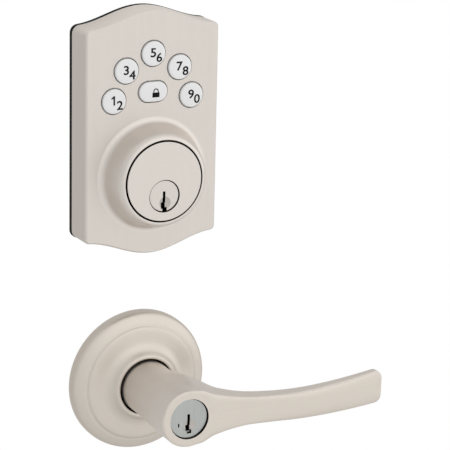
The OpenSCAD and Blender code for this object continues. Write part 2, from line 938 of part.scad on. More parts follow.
module drive_bar() {
    color(steel)
        difference() {
            block([-bar_half, -30, lever_z - bar_half], [bar_half, door_t + 30, lever_z + bar_half]);
            rod_y(2.6, -31, door_t + 31, 0, lever_z);
        }
}

module locking_bar() {
    color(brass) rod_y(2.4, -34, door_t + 44, 0, lever_z);
}

// Keyed lever, inside half

module interior_rose() { to_inside() exterior_rose(); }
module interior_rose_liner() {
    color(steel)
        to_inside()
            difference() {
                union() {
                    rod_y(33.6, -2.6, -0.4, 0, lever_z);
                    rod_y(12.6, -7, -2.6, 0, lever_z);
                }
                rod_y(11.3, -8, over, 0, lever_z);
                for (side = [-1, 1]) rod_y(screw_r + 0.3, -3.6, over, side * lever_post_x, lever_z);
            }
}
module interior_return_spring() { to_inside() exterior_return_spring(); }
module interior_drive_tube() { to_inside() exterior_drive_tube(); }

module interior_lever() {
    color(nickel)
        to_inside()
            difference() {
                lever_body();
                rod_y(11.05, -24.5, 0, 0, lever_z);
                rod_y(5.9, -31, -8, 0, lever_z);
                rod_y(3.4, -lever_y - over, -8, 0, lever_z);
                rod_y(8.7, -lever_y - over, -lever_y + 2.2, 0, lever_z);
            }
}

module turn_button() {
    front = door_t + lever_y;
    color(nickel) {
        rod_y(8.4, front - 1.9, front + 0.4, 0, lever_z);
        rod_y(3, door_t + 44, front - 1, 0, lever_z);
        block([-1.9, front + 0.3, lever_z - 6.6], [1.9, front + 5.5, lever_z + 6.6]);
    }
}

module lever_screws() {
    seat = door_t + 2.6;
    color(steel)
        for (side = [-1, 1]) {
            rod_y(screw_r, 0, seat, side * lever_post_x, lever_z);
            difference() {
                rod_y(3.8, seat, seat + 2, side * lever_post_x, lever_z);
                block([side * lever_post_x - 3, seat + 1, lever_z - 0.5],
                    [side * lever_post_x + 3, seat + 3, lever_z + 0.5]);
            }
        }
}

exterior_gasket();
exterior_housing();
exterior_chassis();
chassis_screws();
keypad_membrane();
keypad_circuit_board();
keypad_cable();
button_1_2();
button_3_4();
button_5_6();
button_7_8();
button_9_0();
lock_button();
deadbolt_cylinder();
deadbolt_plug();
key_pins();
driver_pins();
pin_springs();
cylinder_clip();
torque_blade();
deadbolt_bolt();
deadbolt_tube();
deadbolt_case();
deadbolt_cam();
deadbolt_faceplate();
interior_plate();
through_screws();
interior_chassis();
interior_cover();
battery_cover();
batteries();
battery_contacts();
interior_circuit_board();
gear_motor();
drive_gear();
turn_gear();
thumbturn();
cover_screws();
exterior_rose();
exterior_rose_liner();
exterior_return_spring();
exterior_drive_tube();
exterior_lever();
lever_cylinder();
lever_plug();
latch_bolt();
latch_tube();
latch_case();
latch_cam();
latch_spring();
latch_faceplate();
drive_bar();
locking_bar();
interior_rose();
interior_rose_liner();
interior_return_spring();
interior_drive_tube();
interior_lever();
turn_button();
lever_screws();
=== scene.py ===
"""Looks of a keypad deadbolt and the keyed lever below it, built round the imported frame.

X runs right as seen from outside, Y runs into the door and Z runs up.
Shapes are written in millimetres and become metres where a mesh is made.
"""

import math

import bmesh
import bpy
import numpy as np
from mathutils import Matrix, Vector


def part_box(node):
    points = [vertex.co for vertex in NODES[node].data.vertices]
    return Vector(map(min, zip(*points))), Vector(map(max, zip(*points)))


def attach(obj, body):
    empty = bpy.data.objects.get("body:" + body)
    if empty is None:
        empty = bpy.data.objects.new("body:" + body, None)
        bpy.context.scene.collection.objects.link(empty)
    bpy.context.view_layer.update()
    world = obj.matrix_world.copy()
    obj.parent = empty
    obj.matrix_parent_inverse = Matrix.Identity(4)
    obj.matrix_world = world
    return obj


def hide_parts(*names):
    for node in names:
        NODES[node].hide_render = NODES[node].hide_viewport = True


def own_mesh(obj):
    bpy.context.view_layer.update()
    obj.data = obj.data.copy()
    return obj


bl_info = {
    "name": "Keypad Lock Set", "version": (1, 0, 0), "blender": (4, 5, 0),
    "location": "View3D > Sidebar > Lock",
    "description": "Builds the looks of a keypad deadbolt and a keyed lever round a packed frame",
    "category": "Add Mesh"
}

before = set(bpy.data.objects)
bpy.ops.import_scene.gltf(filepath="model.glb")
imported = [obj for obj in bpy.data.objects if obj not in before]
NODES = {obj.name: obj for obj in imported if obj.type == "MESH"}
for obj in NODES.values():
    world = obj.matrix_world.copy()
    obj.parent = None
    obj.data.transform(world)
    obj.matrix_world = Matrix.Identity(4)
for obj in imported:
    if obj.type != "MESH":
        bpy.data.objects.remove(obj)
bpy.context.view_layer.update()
ROOT = "lock_body"
MM = 0.001


def edge(node, axis, side):
    """Place of a CAD node's face along an axis, in millimetres. Side is 0 for low and 1 for high."""
    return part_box(node)[side][axis] / MM


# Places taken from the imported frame, in millimetres
DOOR = edge("interior_plate", 1, 0)
MID = DOOR / 2
LEVER_Z = (edge("exterior_rose", 2, 0) + edge("exterior_rose", 2, 1)) / 2
CAD_KEY_FRONT, CAD_KEY_RISE, KEY_GROWTH = edge("button_5_6", 1, 0), 0.7, 0.35
COVER_FRONT = CAD_KEY_FRONT + CAD_KEY_RISE
COVER_BACK = edge("exterior_gasket", 1, 0)
FACE_R = 19.2
FACE_Z = edge("deadbolt_cylinder", 2, 0) + FACE_R
KEY_FRONT = CAD_KEY_FRONT - KEY_GROWTH
LEVER_FRONT = edge("exterior_lever", 1, 0)
INSIDE_FRONT = edge("interior_cover", 1, 1)


def middle(node):
    """Centre of a CAD node in X and Z, in millimetres."""
    low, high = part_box(node)
    return (low.x + high.x) / 2 / MM, (low.z + high.z) / 2 / MM


# Settings


def color_setting(name, description, default):
    """Colour that can be changed."""
    return bpy.props.FloatVectorProperty(
        name=name, description=description, subtype="COLOR", size=3, min=0, max=1, default=default
    )


def length_setting(name, description, low, high, default):
    """Length that can be changed, given in millimetres."""
    return bpy.props.FloatProperty(
        name=name, description=description, unit="LENGTH", min=low * MM, max=high * MM,
        default=default * MM
    )


def number_setting(name, description, low, high, default):
    """Plain number that can be changed."""
    return bpy.props.FloatProperty(
        name=name, description=description, subtype="FACTOR", min=low, max=high, default=default
    )


class LockFinishSettings(bpy.types.PropertyGroup):
    """Colours and gloss of the finishes."""

    nickel: color_setting("Satin nickel", "Colour of the visible metal", (0.70, 0.655, 0.61))
    nickel_roughness: number_setting(
        "Nickel roughness", "How satin the visible metal is", 0.1, 0.8, 0.42
    )
    steel: color_setting("Plated steel", "Colour of the inner steel parts", (0.58, 0.58, 0.57))
    brass: color_setting("Brass", "Colour of pins, cams and the motor's gear", (0.74, 0.56, 0.27))
    key: color_setting("Key white", "Colour of the keys", (0.81, 0.81, 0.81))


class LockKeySettings(bpy.types.PropertyGroup):
    """Shape of the keys and their digits."""

    crown: length_setting("Crown", "How far a key's middle stands above its edge", 0, 1, 0.25)
    digit_height: length_setting("Digit height", "Height of a digit", 2, 5, 4.4)
    digit_offset: bpy.props.FloatVectorProperty(
        name="Digit offsets",
        description="Places of the first and the second digit from the key's middle, as X, Z, X and Z",
        unit="LENGTH", size=4, default=(-0.55 * MM, 0.6 * MM, 2.6 * MM, -1.85 * MM)
    )


class LockLeverSettings(bpy.types.PropertyGroup):
    """Shape of the levers."""

    mesh_step: length_setting("Mesh step", "Grid size that the lever's skin is made on", 0.3, 2, 0.6)
    blend: length_setting("Neck blend", "Size of the fillet where the arm leaves the neck", 1, 20, 9)


class LockStageSettings(bpy.types.PropertyGroup):
    """Camera and light."""

    camera_place: bpy.props.FloatVectorProperty(
        name="Camera place", description="Where the camera stands", subtype="TRANSLATION",
        unit="LENGTH", size=3, default=(-0.40618, -0.87583, 0.25920)
    )
    camera_turn: bpy.props.FloatVectorProperty(
        name="Camera turn", description="Yaw to the right, pitch down and roll of the camera",
        subtype="EULER", unit="ROTATION", size=3,
        default=(math.radians(27.45), math.radians(16.23), math.radians(1.33))
    )
    lens: number_setting("Lens", "Focal length in millimetres on a 36 mm sensor", 20, 400, 164.7)
    surround: number_setting("Surround light", "Strength of the light from all round", 0, 3, 0.92)


# Node helpers


def node(tree, kind, inputs=None, **settings):
    """New node with its settings, and its inputs set to values or linked to sockets."""
    made = tree.nodes.new(kind)
    for key, value in settings.items():
        setattr(made, key, value)
    for key, value in (inputs or {}).items():
        if isinstance(value, bpy.types.NodeSocket):
            tree.links.new(value, made.inputs[key])
        else:
            made.inputs[key].default_value = value
    return made


def first(tree, kind, inputs=None, **settings):
    """First output of a new node."""
    return node(tree, kind, inputs, **settings).outputs[0]


def vector(tree, x=0.0, y=0.0, z=0.0):
    """Vector made of three values."""
    return first(tree, "ShaderNodeCombineXYZ", {0: x, 1: y, 2: z})


def ranged(tree, value, start, end, low, high, **settings):
    """Value brought from one range to another."""
    inputs = {"Value": value, "From Min": start, "From Max": end, "To Min": low, "To Max": high}
    return first(tree, "ShaderNodeMapRange", inputs, **settings)


def worked(tree, kind, *values):
    """Output of a Math node."""
    return first(tree, "ShaderNodeMath", dict(enumerate(values)), operation=kind)


def blank_material(name):
    """Material with an empty tree, its Principled shader and its output."""
    made = bpy.data.materials.new(name)
    made.use_nodes = True
    tree = made.node_tree
    tree.nodes.clear()
    shader = node(tree, "ShaderNodeBsdfPrincipled")
    node(tree, "ShaderNodeOutputMaterial", {"Surface": shader.outputs[0]})
    return made, tree, shader


def noise(tree, coordinates, scale, detail=2.0, roughness=0.5):
    """Output of a Noise Texture, from 0 to 1 round one half."""
    inputs = {"Vector": coordinates, "Scale": scale, "Detail": detail, "Roughness": roughness}
    return first(tree, "ShaderNodeTexNoise", inputs)


def mapped(tree, scale=(1, 1, 1), location=(0, 0, 0)):
    """Object coordinates, moved and then stretched."""
    place = node(tree, "ShaderNodeTexCoord").outputs["Object"]
    moved_place = first(tree, "ShaderNodeMapping", {"Vector": place, "Location": location})
    return first(tree, "ShaderNodeMapping", {"Vector": moved_place, "Scale": scale})


def spread(tree, value, low, high):
    """Noise round one half brought to a range."""
    return ranged(tree, value, 0.25, 0.75, low, high)


def tinted(tree, color, value, amount):
    """Colour that turns darker and lighter by an amount as the value goes from 0 to 1."""
    dark, light = ((*[min(1, c * k) for c in color], 1) for k in (1 - amount, 1 + amount))
    return node(tree, "ShaderNodeMix", {0: value, 6: dark, 7: light}, data_type="RGBA").outputs[2]


def surfaced(tree, shader, color, gloss, relief, strength, depth):
    """Links a shader's colour and roughness, and its normal to a relief."""
    tree.links.new(color, shader.inputs["Base Color"])
    tree.links.new(gloss, shader.inputs["Roughness"])
    bump = {"Strength": strength, "Distance": depth, "Height": relief}
    tree.links.new(first(tree, "ShaderNodeBump", bump), shader.inputs["Normal"])


def brushed_metal(name, color, roughness, grain="z", height=0, bump=0.25, tint=0.035):
    """Satin metal with strokes along an axis, or "turned" round an axis along Y at a height."""
    made, tree, shader = blank_material(name)
    if grain == "turned":
        flat = mapped(tree, (1, 0, 1), (0, 0, -height * MM))
        radius = node(tree, "ShaderNodeVectorMath", {0: flat}, operation="LENGTH").outputs["Value"]
        split = node(tree, "ShaderNodeSeparateXYZ", {0: flat})
        angle = worked(tree, "ARCTAN2", split.outputs[2], split.outputs[0])
        around = worked(tree, "MULTIPLY", worked(tree, "COSINE", angle), 0.0004)
        turned = vector(tree, radius, around)
        fine, broad = noise(tree, turned, 5200, 3, 0.6), noise(tree, turned, 700, 2)
    else:
        fine = noise(tree, mapped(tree, [110 if a == grain else 4200 for a in "xyz"]), 1, 3, 0.6)
        broad = noise(tree, mapped(tree, [9 if a == grain else 620 for a in "xyz"]), 1, 2)
    cloud = worked(tree, "MULTIPLY", noise(tree, mapped(tree), 45, 3), 0.25)
    blend = worked(tree, "MULTIPLY_ADD", fine, 0.35, worked(tree, "MULTIPLY_ADD", broad, 0.4, cloud))
    shade = tinted(tree, color, spread(tree, blend, 0, 1), tint)
    gloss = spread(tree, blend, roughness - 0.05, roughness + 0.05)
    surfaced(tree, shader, shade, gloss, fine, bump, 0.00004)
    shader.inputs["Metallic"].default_value = 1
    return made


def moulded(
    name, color, roughness, texture=0.3, grain_size=2500, metallic=0.0, tint=0.05, coat=0.0, shine=0.5
):
    """Moulded, cast or rubber surface with a fine texture and faint mottling."""
    made, tree, shader = blank_material(name)
    fine, cloud = noise(tree, mapped(tree), grain_size, 2), noise(tree, mapped(tree), 90, 3)
    shade = tinted(tree, color, spread(tree, cloud, 0, 1), tint)
    gloss = spread(tree, cloud, roughness - 0.04, roughness + 0.04)
    surfaced(tree, shader, shade, gloss, fine, texture, 0.00006)
    shader.inputs["Metallic"].default_value = metallic
    shader.inputs["Coat Weight"].default_value = coat
    shader.inputs["Specular IOR Level"].default_value = shine
    return made


def board_material(name):
    """Circuit board with copper tracks under its green mask."""
    made, tree, shader = blank_material(name)
    pattern = {
        "Vector": mapped(tree), "Scale": 260, "Mortar Size": 0.04, "Color1": (0.015, 0.13, 0.05, 1),
        "Color2": (0.02, 0.17, 0.07, 1), "Mortar": (0.10, 0.30, 0.12, 1)
    }
    bricks = first(tree, "ShaderNodeTexBrick", pattern)
    cloud = noise(tree, mapped(tree), 300, 3)
    mix = {0: spread(tree, cloud, 0, 0.35), 6: bricks, 7: (0.01, 0.08, 0.03, 1)}
    shade = node(tree, "ShaderNodeMix", mix, data_type="RGBA")
    tree.links.new(shade.outputs[2], shader.inputs["Base Color"])
    tree.links.new(spread(tree, cloud, 0.25, 0.4), shader.inputs["Roughness"])
    shader.inputs["Coat Weight"].default_value = 0.4
    return made


FINISH = {}


def make_finishes(settings):
    """Fills the table of finishes."""
    rough = settings.nickel_roughness
    nickel, steel, brass, key = (
        Vector(c) for c in (settings.nickel, settings.steel, settings.brass, settings.key)
    )
    warm = nickel * Vector((1.0, 0.985, 0.945))
    # Name of the finish, then name of the material, colour, roughness, grain and height of its axis
    metals = {
        "nickel_upright": ("satin_nickel_upright", nickel, rough),
        "nickel_level": ("satin_nickel_level", warm, rough, "x"),
        # Brighter copy of the nickel, with strokes along Y, for the lever's neck and the top and sides
        # of its arm: painted light.
        "nickel_neck": ("satin_nickel_neck", nickel * 1.1, rough, "y"),
        # Copy of the housing's nickel made brighter for the domed collar: painted light, with turned
        # strokes.
        "nickel_collar": ("satin_nickel_collar", nickel * 1.07, rough, "turned", FACE_Z),
        "nickel_face": ("satin_nickel_face", nickel * 1.02, rough - 0.04, "turned", FACE_Z),
        "nickel_plug": ("satin_nickel_plug", nickel, rough - 0.04, "turned"),
        "nickel_rose": ("satin_nickel_rose", warm, rough, "turned", LEVER_Z),
        # Darker nickel for the plug's dimple: painted shade.
        "dimple": ("shaded_dimple", nickel * 0.74, 0.5),
        "bright_steel": ("bright_steel", steel * 1.15, 0.24, "x")
    }
    for name, values in metals.items():
        FINISH[name] = brushed_metal(*values)
    plug = Vector((0.46, 0.475, 0.46))
    FINISH.update(
        nickel_lever_plug=brushed_metal("nickel_lever_plug", plug, rough - 0.06, tint=0.12),
        steel_level=brushed_metal("plated_steel_level", steel, 0.36, "x", tint=0.06),
        steel_upright=brushed_metal("plated_steel_upright", steel, 0.4, tint=0.06),
        steel_turned=brushed_metal("plated_steel_turned", steel, 0.34, "y", tint=0.06),
        brass=brushed_metal("machined_brass", brass, 0.3, "y", tint=0.07),
        # Black of painted shade, put on the deep walls of holes, bores and keyways and on the rings
        # round the plugs.
        gap=moulded("shadowed_gap", (0.004, 0.004, 0.004), 0.85, 0.1, shine=0.05),
        rubber=moulded("seal_rubber", (0.01, 0.01, 0.011), 0.68, 0.5, 1800, shine=0.15),
        key=moulded("key_white", key, 0.32, 0.06, 3000, tint=0.015, coat=0.25),
        ink=moulded("key_ink", (0.005, 0.005, 0.006), 0.6, 0.1, shine=0.1),
        cast=moulded("cast_chassis", (0.36, 0.36, 0.37), 0.55, 0.6, 1400, 0.9, 0.1),
        black=moulded("black_plastic", (0.022, 0.022, 0.024), 0.48, 0.35, 2200),
        board=board_material("circuit_board"), chip=moulded("chip_black", (0.02, 0.02, 0.02), 0.4, 0.2),
        gear=moulded("gear_white", (0.78, 0.77, 0.74), 0.4, 0.15),
        wrap=moulded("cell_wrap", (0.03, 0.04, 0.06), 0.28, 0.05, 2000, tint=0.12, coat=0.5),
        band=moulded("cell_band", (0.62, 0.42, 0.16), 0.3, 0.05, 2000, 0.7, 0.08, 0.5)
    )


# Mesh helpers


def built(name, mesh, finish, angle=32):
    """Object at the origin that holds a mesh, shaded smooth up to an angle."""
    mesh.name = name
    mesh.polygons.foreach_set("use_smooth", [True] * len(mesh.polygons))
    mesh.set_sharp_from_angle(angle=math.radians(angle))
    made = bpy.data.objects.new(name, mesh)
    bpy.context.scene.collection.objects.link(made)
    for each in finish if isinstance(finish, (list, tuple)) else [finish]:
        mesh.materials.append(each)
    return made


def mesh_of(points, faces, recalculate=True):
    """Mesh from points in millimetres, with its doubles merged."""
    made = bpy.data.meshes.new("shape")
    made.from_pydata([tuple(c * MM for c in p) for p in points], [], faces)
    work = bmesh.new()
    work.from_mesh(made)
    bmesh.ops.remove_doubles(work, verts=work.verts, dist=1e-7)
    if recalculate:
        bmesh.ops.recalc_face_normals(work, faces=work.faces)
    work.to_mesh(made)
    work.free()
    return made


def joined(*meshes):
    """One mesh that holds several, with their material numbers kept."""
    work = bmesh.new()
    for each in meshes:
        work.from_mesh(each)
        bpy.data.meshes.remove(each)
    made = bpy.data.meshes.new("joined")
    work.to_mesh(made)
    work.free()
    return made


def curve_through(points, steps=5):
    """Smooth line through points, as a list with steps between each pair."""
    ends = [points[0], *points, points[-1]]
    line = []
    for a, b, c, d in zip(ends, ends[1:], ends[2:], ends[3:]):
        for i in range(steps):
            t = i / steps
            weights = (
                2 * t * t - t - t**3, 2 - 5 * t * t + 3 * t**3, t + 4 * t * t - 3 * t**3, t**3 - t * t
            )
            line.append(
                tuple(sum(w * v for w, v in zip(weights, values)) / 2 for values in zip(a, b, c, d))
            )
    return [*line, points[-1]]


def turned_mesh(profile, x=0.0, z=0.0, around=128):
    """Closed shell turned round an axis along Y. The profile is a closed loop of radius and y."""
    count = len(profile)
    points, faces = [], []
    for i in range(around):
        angle = 2 * math.pi * i / around
        points += [(x + r * math.cos(angle), y, z + r * math.sin(angle)) for r, y in profile]
        step = ((i + 1) % around) * count
        for k in range(count):
            m = (k + 1) % count
            faces.append((i * count + k, step + k, step + m, i * count + m))
    return mesh_of(points, faces)


def bore(r, y0, y1, x=0.0, z=0.0, around=96):
    """Solid round bar along Y, for cutting."""
    return turned_mesh([(0, y0), (r, y0), (r, y1), (0, y1)], x, z, around)


def stacked_mesh(rings):
    """Closed shell through rings of points that all have the same number of points."""
    count = len(rings[0])
    points = [p for ring in rings for p in ring]
    faces = [tuple(range(count)), tuple((len(rings) - 1) * count + i for i in range(count))]
    for j in range(len(rings) - 1):
        for i in range(count):
            m = (i + 1) % count
            faces.append((j * count + i, j * count + m, (j + 1) * count + m, (j + 1) * count + i))
    return mesh_of(points, faces)


def cut(piece, *cutters, operation="DIFFERENCE"):
    """Applies cutters to a piece, one after another, and removes them."""
    for mesh in cutters:
        tool = bpy.data.objects.new("tool", mesh)
        bpy.context.scene.collection.objects.link(tool)
        step = piece.modifiers.new("cut", "BOOLEAN")
        step.operation, step.object, step.solver = operation, tool, "EXACT"
        applied(piece)
        bpy.data.objects.remove(tool)
        bpy.data.meshes.remove(mesh)


def evaluated_mesh(piece):
    """New mesh of a piece with its modifiers applied."""
    graph = bpy.context.evaluated_depsgraph_get()
    return bpy.data.meshes.new_from_object(piece.evaluated_get(graph), depsgraph=graph)


def applied(piece):
    """Bakes a piece's modifiers into its mesh."""
    mesh = evaluated_mesh(piece)
    piece.modifiers.clear()
    old, piece.data = piece.data, mesh
    name = old.name
    bpy.data.meshes.remove(old)
    mesh.name = name


def eased(mesh, width, chosen, segments=3):
    """Rounds the edges that the test picks, by a width in millimetres."""
    work = bmesh.new()
    work.from_mesh(mesh)
    edges = [e for e in work.edges if len(e.link_faces) == 2 and chosen(e)]
    bmesh.ops.bevel(
        work, geom=edges, offset=width * MM, offset_type="OFFSET", segments=segments, profile=0.5,
        affect="EDGES", clamp_overlap=True
    )
    work.to_mesh(mesh)
    work.free()


def settle(piece, angle=32):
    """Shades a piece smooth up to an angle, with flat faces kept flat."""
    mesh = piece.data
    mesh.polygons.foreach_set("use_smooth", [True] * len(mesh.polygons))
    mesh.set_sharp_from_angle(angle=math.radians(angle))
    step = piece.modifiers.new("even", "WEIGHTED_NORMAL")
    step.keep_sharp = True
    step.weight = 60
    return piece


def stands_for(piece, body, slot, *nodes):
    """Puts a finished piece on its body and hides the CAD nodes that it stands for; the slot is not
    used.
    """
    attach(piece, body)
    if nodes:
        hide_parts(*nodes)
    return piece


def cad_copy(node_name):
    """Merged copy of a CAD node's mesh, with its flat faces made whole."""
    mesh = NODES[node_name].data.copy()
    mesh.materials.clear()
    work = bmesh.new()
    work.from_mesh(mesh)
    bmesh.ops.remove_doubles(work, verts=work.verts, dist=2e-6)
    bmesh.ops.dissolve_degenerate(work, dist=1e-7, edges=work.edges)
    bmesh.ops.dissolve_limit(
        work, angle_limit=math.radians(0.6), use_dissolve_boundaries=False, verts=work.verts,
        edges=work.edges
    )
    work.to_mesh(mesh)
    work.free()
    mesh.polygons.foreach_set("material_index", [0] * len(mesh.polygons))
    return mesh


def fold_angle(e):
    """Angle between the two faces of an edge, in degrees."""
    return math.degrees(e.calc_face_angle(0))


def paint(piece, number, test):
    """Gives a material number to the faces whose centre, in millimetres, and normal pass a test."""
    for face in piece.data.polygons:
        if test(face.center / MM, face.normal):
            face.material_index = number


# Outlines in X and Z


def arch(x, half, rise):
    """Height of the arch above its shoulder."""
    return rise * (1 + math.cos(math.pi * x / half)) / 2


def arched(half, top, bottom, rise, r, steps=28, corner_steps=6):
    """Outline with an arch above and below, and rounded corners."""
    flat = half - r
    lift = arch(flat, half, rise)
    low, high = bottom - lift + r, top + lift - r
    xs = [flat * i / steps for i in range(-steps, steps + 1)]

    def corner(x, z, start):
        angles = [math.radians(start + 90 * i / corner_steps) for i in range(1, corner_steps)]
        return [(x + r * math.cos(a), z + r * math.sin(a)) for a in angles]

    return [
        *[(x, bottom - arch(x, half, rise)) for x in xs], *corner(flat, low, -90), (half, low),
        (half, high), *corner(flat, high, 0), *[(-x, top + arch(x, half, rise)) for x in xs],
        *corner(-flat, high, 90), (-half, high), (-half, low), *corner(-flat, low, 180)
    ]


def stadium(r, half, steps=24):
    """Outline with two round ends, long along X."""
    right = [math.radians(-90 + 180 * i / steps) for i in range(steps + 1)]
    ends = [(half + r * math.cos(a), r * math.sin(a)) for a in right]
    return [*ends, *[(-x, -z) for x, z in ends]]


def at_depth(outline, y, x=0.0, z=0.0):
    """Outline in X and Z put at a depth."""
    return [(x + p[0], y, z + p[1]) for p in outline]


def rounded_box(low, high, r=0.6):
    """Block with its edges rounded."""
    work = bmesh.new()
    bmesh.ops.create_cube(work, size=1)
    size = [b - a for a, b in zip(low, high)]
    centre = [(a + b) / 2 for a, b in zip(low, high)]
    for v in work.verts:
        v.co = Vector([centre[i] + v.co[i] * size[i] for i in range(3)]) * MM
    bmesh.ops.bevel(work, geom=work.edges[:], offset=r * MM, segments=3, profile=0.5, affect="EDGES")
    made = bpy.data.meshes.new("box")
    work.to_mesh(made)
    work.free()
    return made


# Keypad cover


# Half width, top and bottom shoulders and rise of the arch
COVER_HALF, COVER_TOP, COVER_BOTTOM, COVER_RISE = 35.5, 78.8, -24.6, 7.9


def cover_ring(y, side, ends, r, low=1):
    """Outline of the keypad cover at one depth, drawn in at its sides and its ends."""
    outline = arched(COVER_HALF - side, COVER_TOP - ends, COVER_BOTTOM + low * ends, COVER_RISE, r)
    return at_depth(outline, y)


def quarter(steps=8):
    """Rises and falls along a quarter of a circle, as pairs that go to 0 and to 1."""
    turns = [math.pi / 2 * i / steps for i in range(steps + 1)]
    return [(1 - math.sin(t), 1 - math.cos(t)) for t in turns]


KEY_NODES = ["button_1_2", "button_3_4", "button_5_6", "button_7_8", "button_9_0"]
KEY_R = 5.95
LONG_KEY_R = 4.82
KEY_GAP = 0.44


class LOCK_OT_keypad_cover(bpy.types.Operator):
    """Arched metal cover with holes for the keys, and its door seal"""

    bl_idname = "lock.keypad_cover"
    bl_label = "Keypad cover"

    def execute(self, context):
        # Depth, draw at the sides and at the ends, corner radius
        sections = [
            (COVER_BACK, 0.5, 0.3, 3.8), (COVER_BACK - 0.3, 0.2, 0.1, 4), (-6, 0.4, 0.1, 3.7),
            (-10, 0.6, 0.12, 3.4), (-13, 0.85, 0.16, 2.9),
            *[
                (COVER_FRONT + 1.5 * a, 1.05 + 1.4 * b, 0.2 + 0.4 * b, 2.5 - 1.1 * b) for a,
                b in quarter()
            ]
        ]
        shell = stacked_mesh([cover_ring(*section, low=2) for section in sections])
        cover = built("keypad_cover", shell, [FINISH["nickel_upright"], FINISH["gap"]])
        deep, out = COVER_BACK + 2, COVER_FRONT - 1
        slot = stadium(LONG_KEY_R + KEY_GAP, 2.45)
        cut(
            cover, stacked_mesh([cover_ring(y, 2.1, 2.1, 2.5) for y in (1, COVER_FRONT + 2)]),
            bore(25.5, out, deep, z=FACE_Z),
            *[bore(KEY_R + KEY_GAP, out, deep, *middle(n), 72) for n in KEY_NODES],
            stacked_mesh([at_depth(slot, y, *middle("lock_button")) for y in (deep, out)])
        )
        front = COVER_FRONT * MM
        eased(
            cover.data, 0.3,
            lambda e: all(
                abs(v.co.y - front) < 1e-6 for v in e.verts
            ) and fold_angle(e) > 60 and (e.verts[0].co.xz - Vector((0, FACE_Z * MM))).length > 0.0258
        )
        # Walls of the key holes deeper than 0.45 mm get the black of painted shade.
        paint(
            cover, 1, lambda p,
            n: abs(
                n.y
            ) < 0.3 and COVER_FRONT + 0.45 < p.y < COVER_FRONT + 1.9 and abs(p.x) < 29 and 35 < p.z < 75
        )
        settle(cover)
        stands_for(cover, ROOT, "satin_nickel", "exterior_housing")

        draws = [(0.0, 0.5), (-0.3, 0.0), (COVER_BACK + 0.5, 0.0), (COVER_BACK, 0.35)]
        shell = stacked_mesh([cover_ring(y, i, i, 4 - i) for y, i in draws])
        seal = built("door_seal", shell, FINISH["rubber"])
        cut(seal, stacked_mesh([cover_ring(y, 3.5, 3.5, 2) for y in (2, COVER_BACK - 2)]))
        stands_for(settle(seal), ROOT, "seal_rubber", "exterior_gasket")
        return {"FINISHED"}


class LOCK_OT_collar(bpy.types.Operator):
    """Domed collar round the cylinder's face"""

    bl_idname = "lock.collar"
    bl_label = "Cylinder collar"

    def execute(self, context):
        wall = [
            (28.4, COVER_FRONT - 0.06), (27.5, -17.1), (26.4, -17.6), (25.5, -18.7), (24.8, -20.5),
            (23.9, -24.2), (23.1, -27.5), (22.6, -28.9), (21.9, -30.1), (21.2, -30.75), (20.5, -31.0),
            (20.1, -30.97), (19.92, -30.65)
        ]
        gap = [(19.92, -27.6), (20.8, -27), (23, -18), (23, -15.4), (28.4, -15.4)]
        # The collar, part of the same housing as the cover, takes the brighter nickel of painted light.
        collar = built(
            "cylinder_collar", turned_mesh([*curve_through(wall, 6), *gap], z=FACE_Z, around=160),
            [FINISH["nickel_collar"], FINISH["gap"]]
        )
        # The collar's inner wall gets the black of painted shade.
        paint(collar, 1, lambda p, n: math.hypot(p.x, p.z - FACE_Z) < 20.05 and -30.75 < p.y)
        stands_for(settle(collar, 40), ROOT, "satin_nickel", "exterior_housing")
        return {"FINISHED"}


# Keys


def sag(inset, crown):
    """How far a key's crowned face falls back at a distance in from its edge."""
    return crown * (1 - min(inset, LONG_KEY_R) / LONG_KEY_R) ** 2


def key_levels(crown):
    """Inset and y of a key's rings, from the middle of its face to its back."""
    face = [(i, sag(i, crown) - crown) for i in (LONG_KEY_R, 4.5, 4.1, 3.6, 3.1, 2.6, 2.1, 1.6, 1.1)]
    edge_line = [(0.6, 0.0), (0.32, 0.08), (0.12, 0.24), (0.02, 0.46), (0, 0.7), (0, 1.1)]
    back = [(0, 2.3), (-0.9, 2.35), (-0.9, 3.4), (3, 3.4)]
    return [(inset, KEY_FRONT + y) for inset, y in [*face, *edge_line, *back]]


def text_mesh(word, height, depth):
    """Mesh of a word, as high as a capital digit, standing in X and Z and centred."""
    text = bpy.data.curves.new("digit", "FONT")
    text.body, text.size, text.extrude = word, height / 0.729, depth / 2
    text.resolution_u, text.bevel_depth, text.bevel_resolution = 5, 0.13 * MM, 1
    holder = bpy.data.objects.new("digit", text)
    bpy.context.scene.collection.objects.link(holder)
    mesh = evaluated_mesh(holder)
    bpy.data.objects.remove(holder)
    bpy.data.curves.remove(text)
    xs, ys = [v.co.x for v in mesh.vertices], [v.co.y for v in mesh.vertices]
    centre = Vector(((min(xs) + max(xs)) / 2, (min(ys) + max(ys)) / 2, 0))
    grow = height / (max(ys) - min(ys))
    mesh.transform(Matrix.Diagonal((grow * 1.12, grow, 1, 1)) @ Matrix.Translation(-centre))
    mesh.transform(Matrix.Rotation(math.pi / 2, 4, "X"))
    return mesh


def digit_one(height, depth):
    """Mesh of a figure one with its flag, in the weight of the other digits."""
    line = [
        (0.13, -0.5), (0.13, 0.5), (0, 0.5), (-0.27, 0.3), (-0.27, 0.13), (-0.04, 0.27), (-0.04, -0.5)
    ]
    points = [
        (x * height / MM, y / MM, z * height / MM) for y in (depth / 2, -depth / 2) for x, z in line
    ]
    count = len(line)
    faces = [tuple(range(count)), tuple(range(2 * count - 1, count - 1, -1))]
    faces += [(i, count + i, count + (i + 1) % count, (i + 1) % count) for i in range(count)]
    return mesh_of(points, faces)


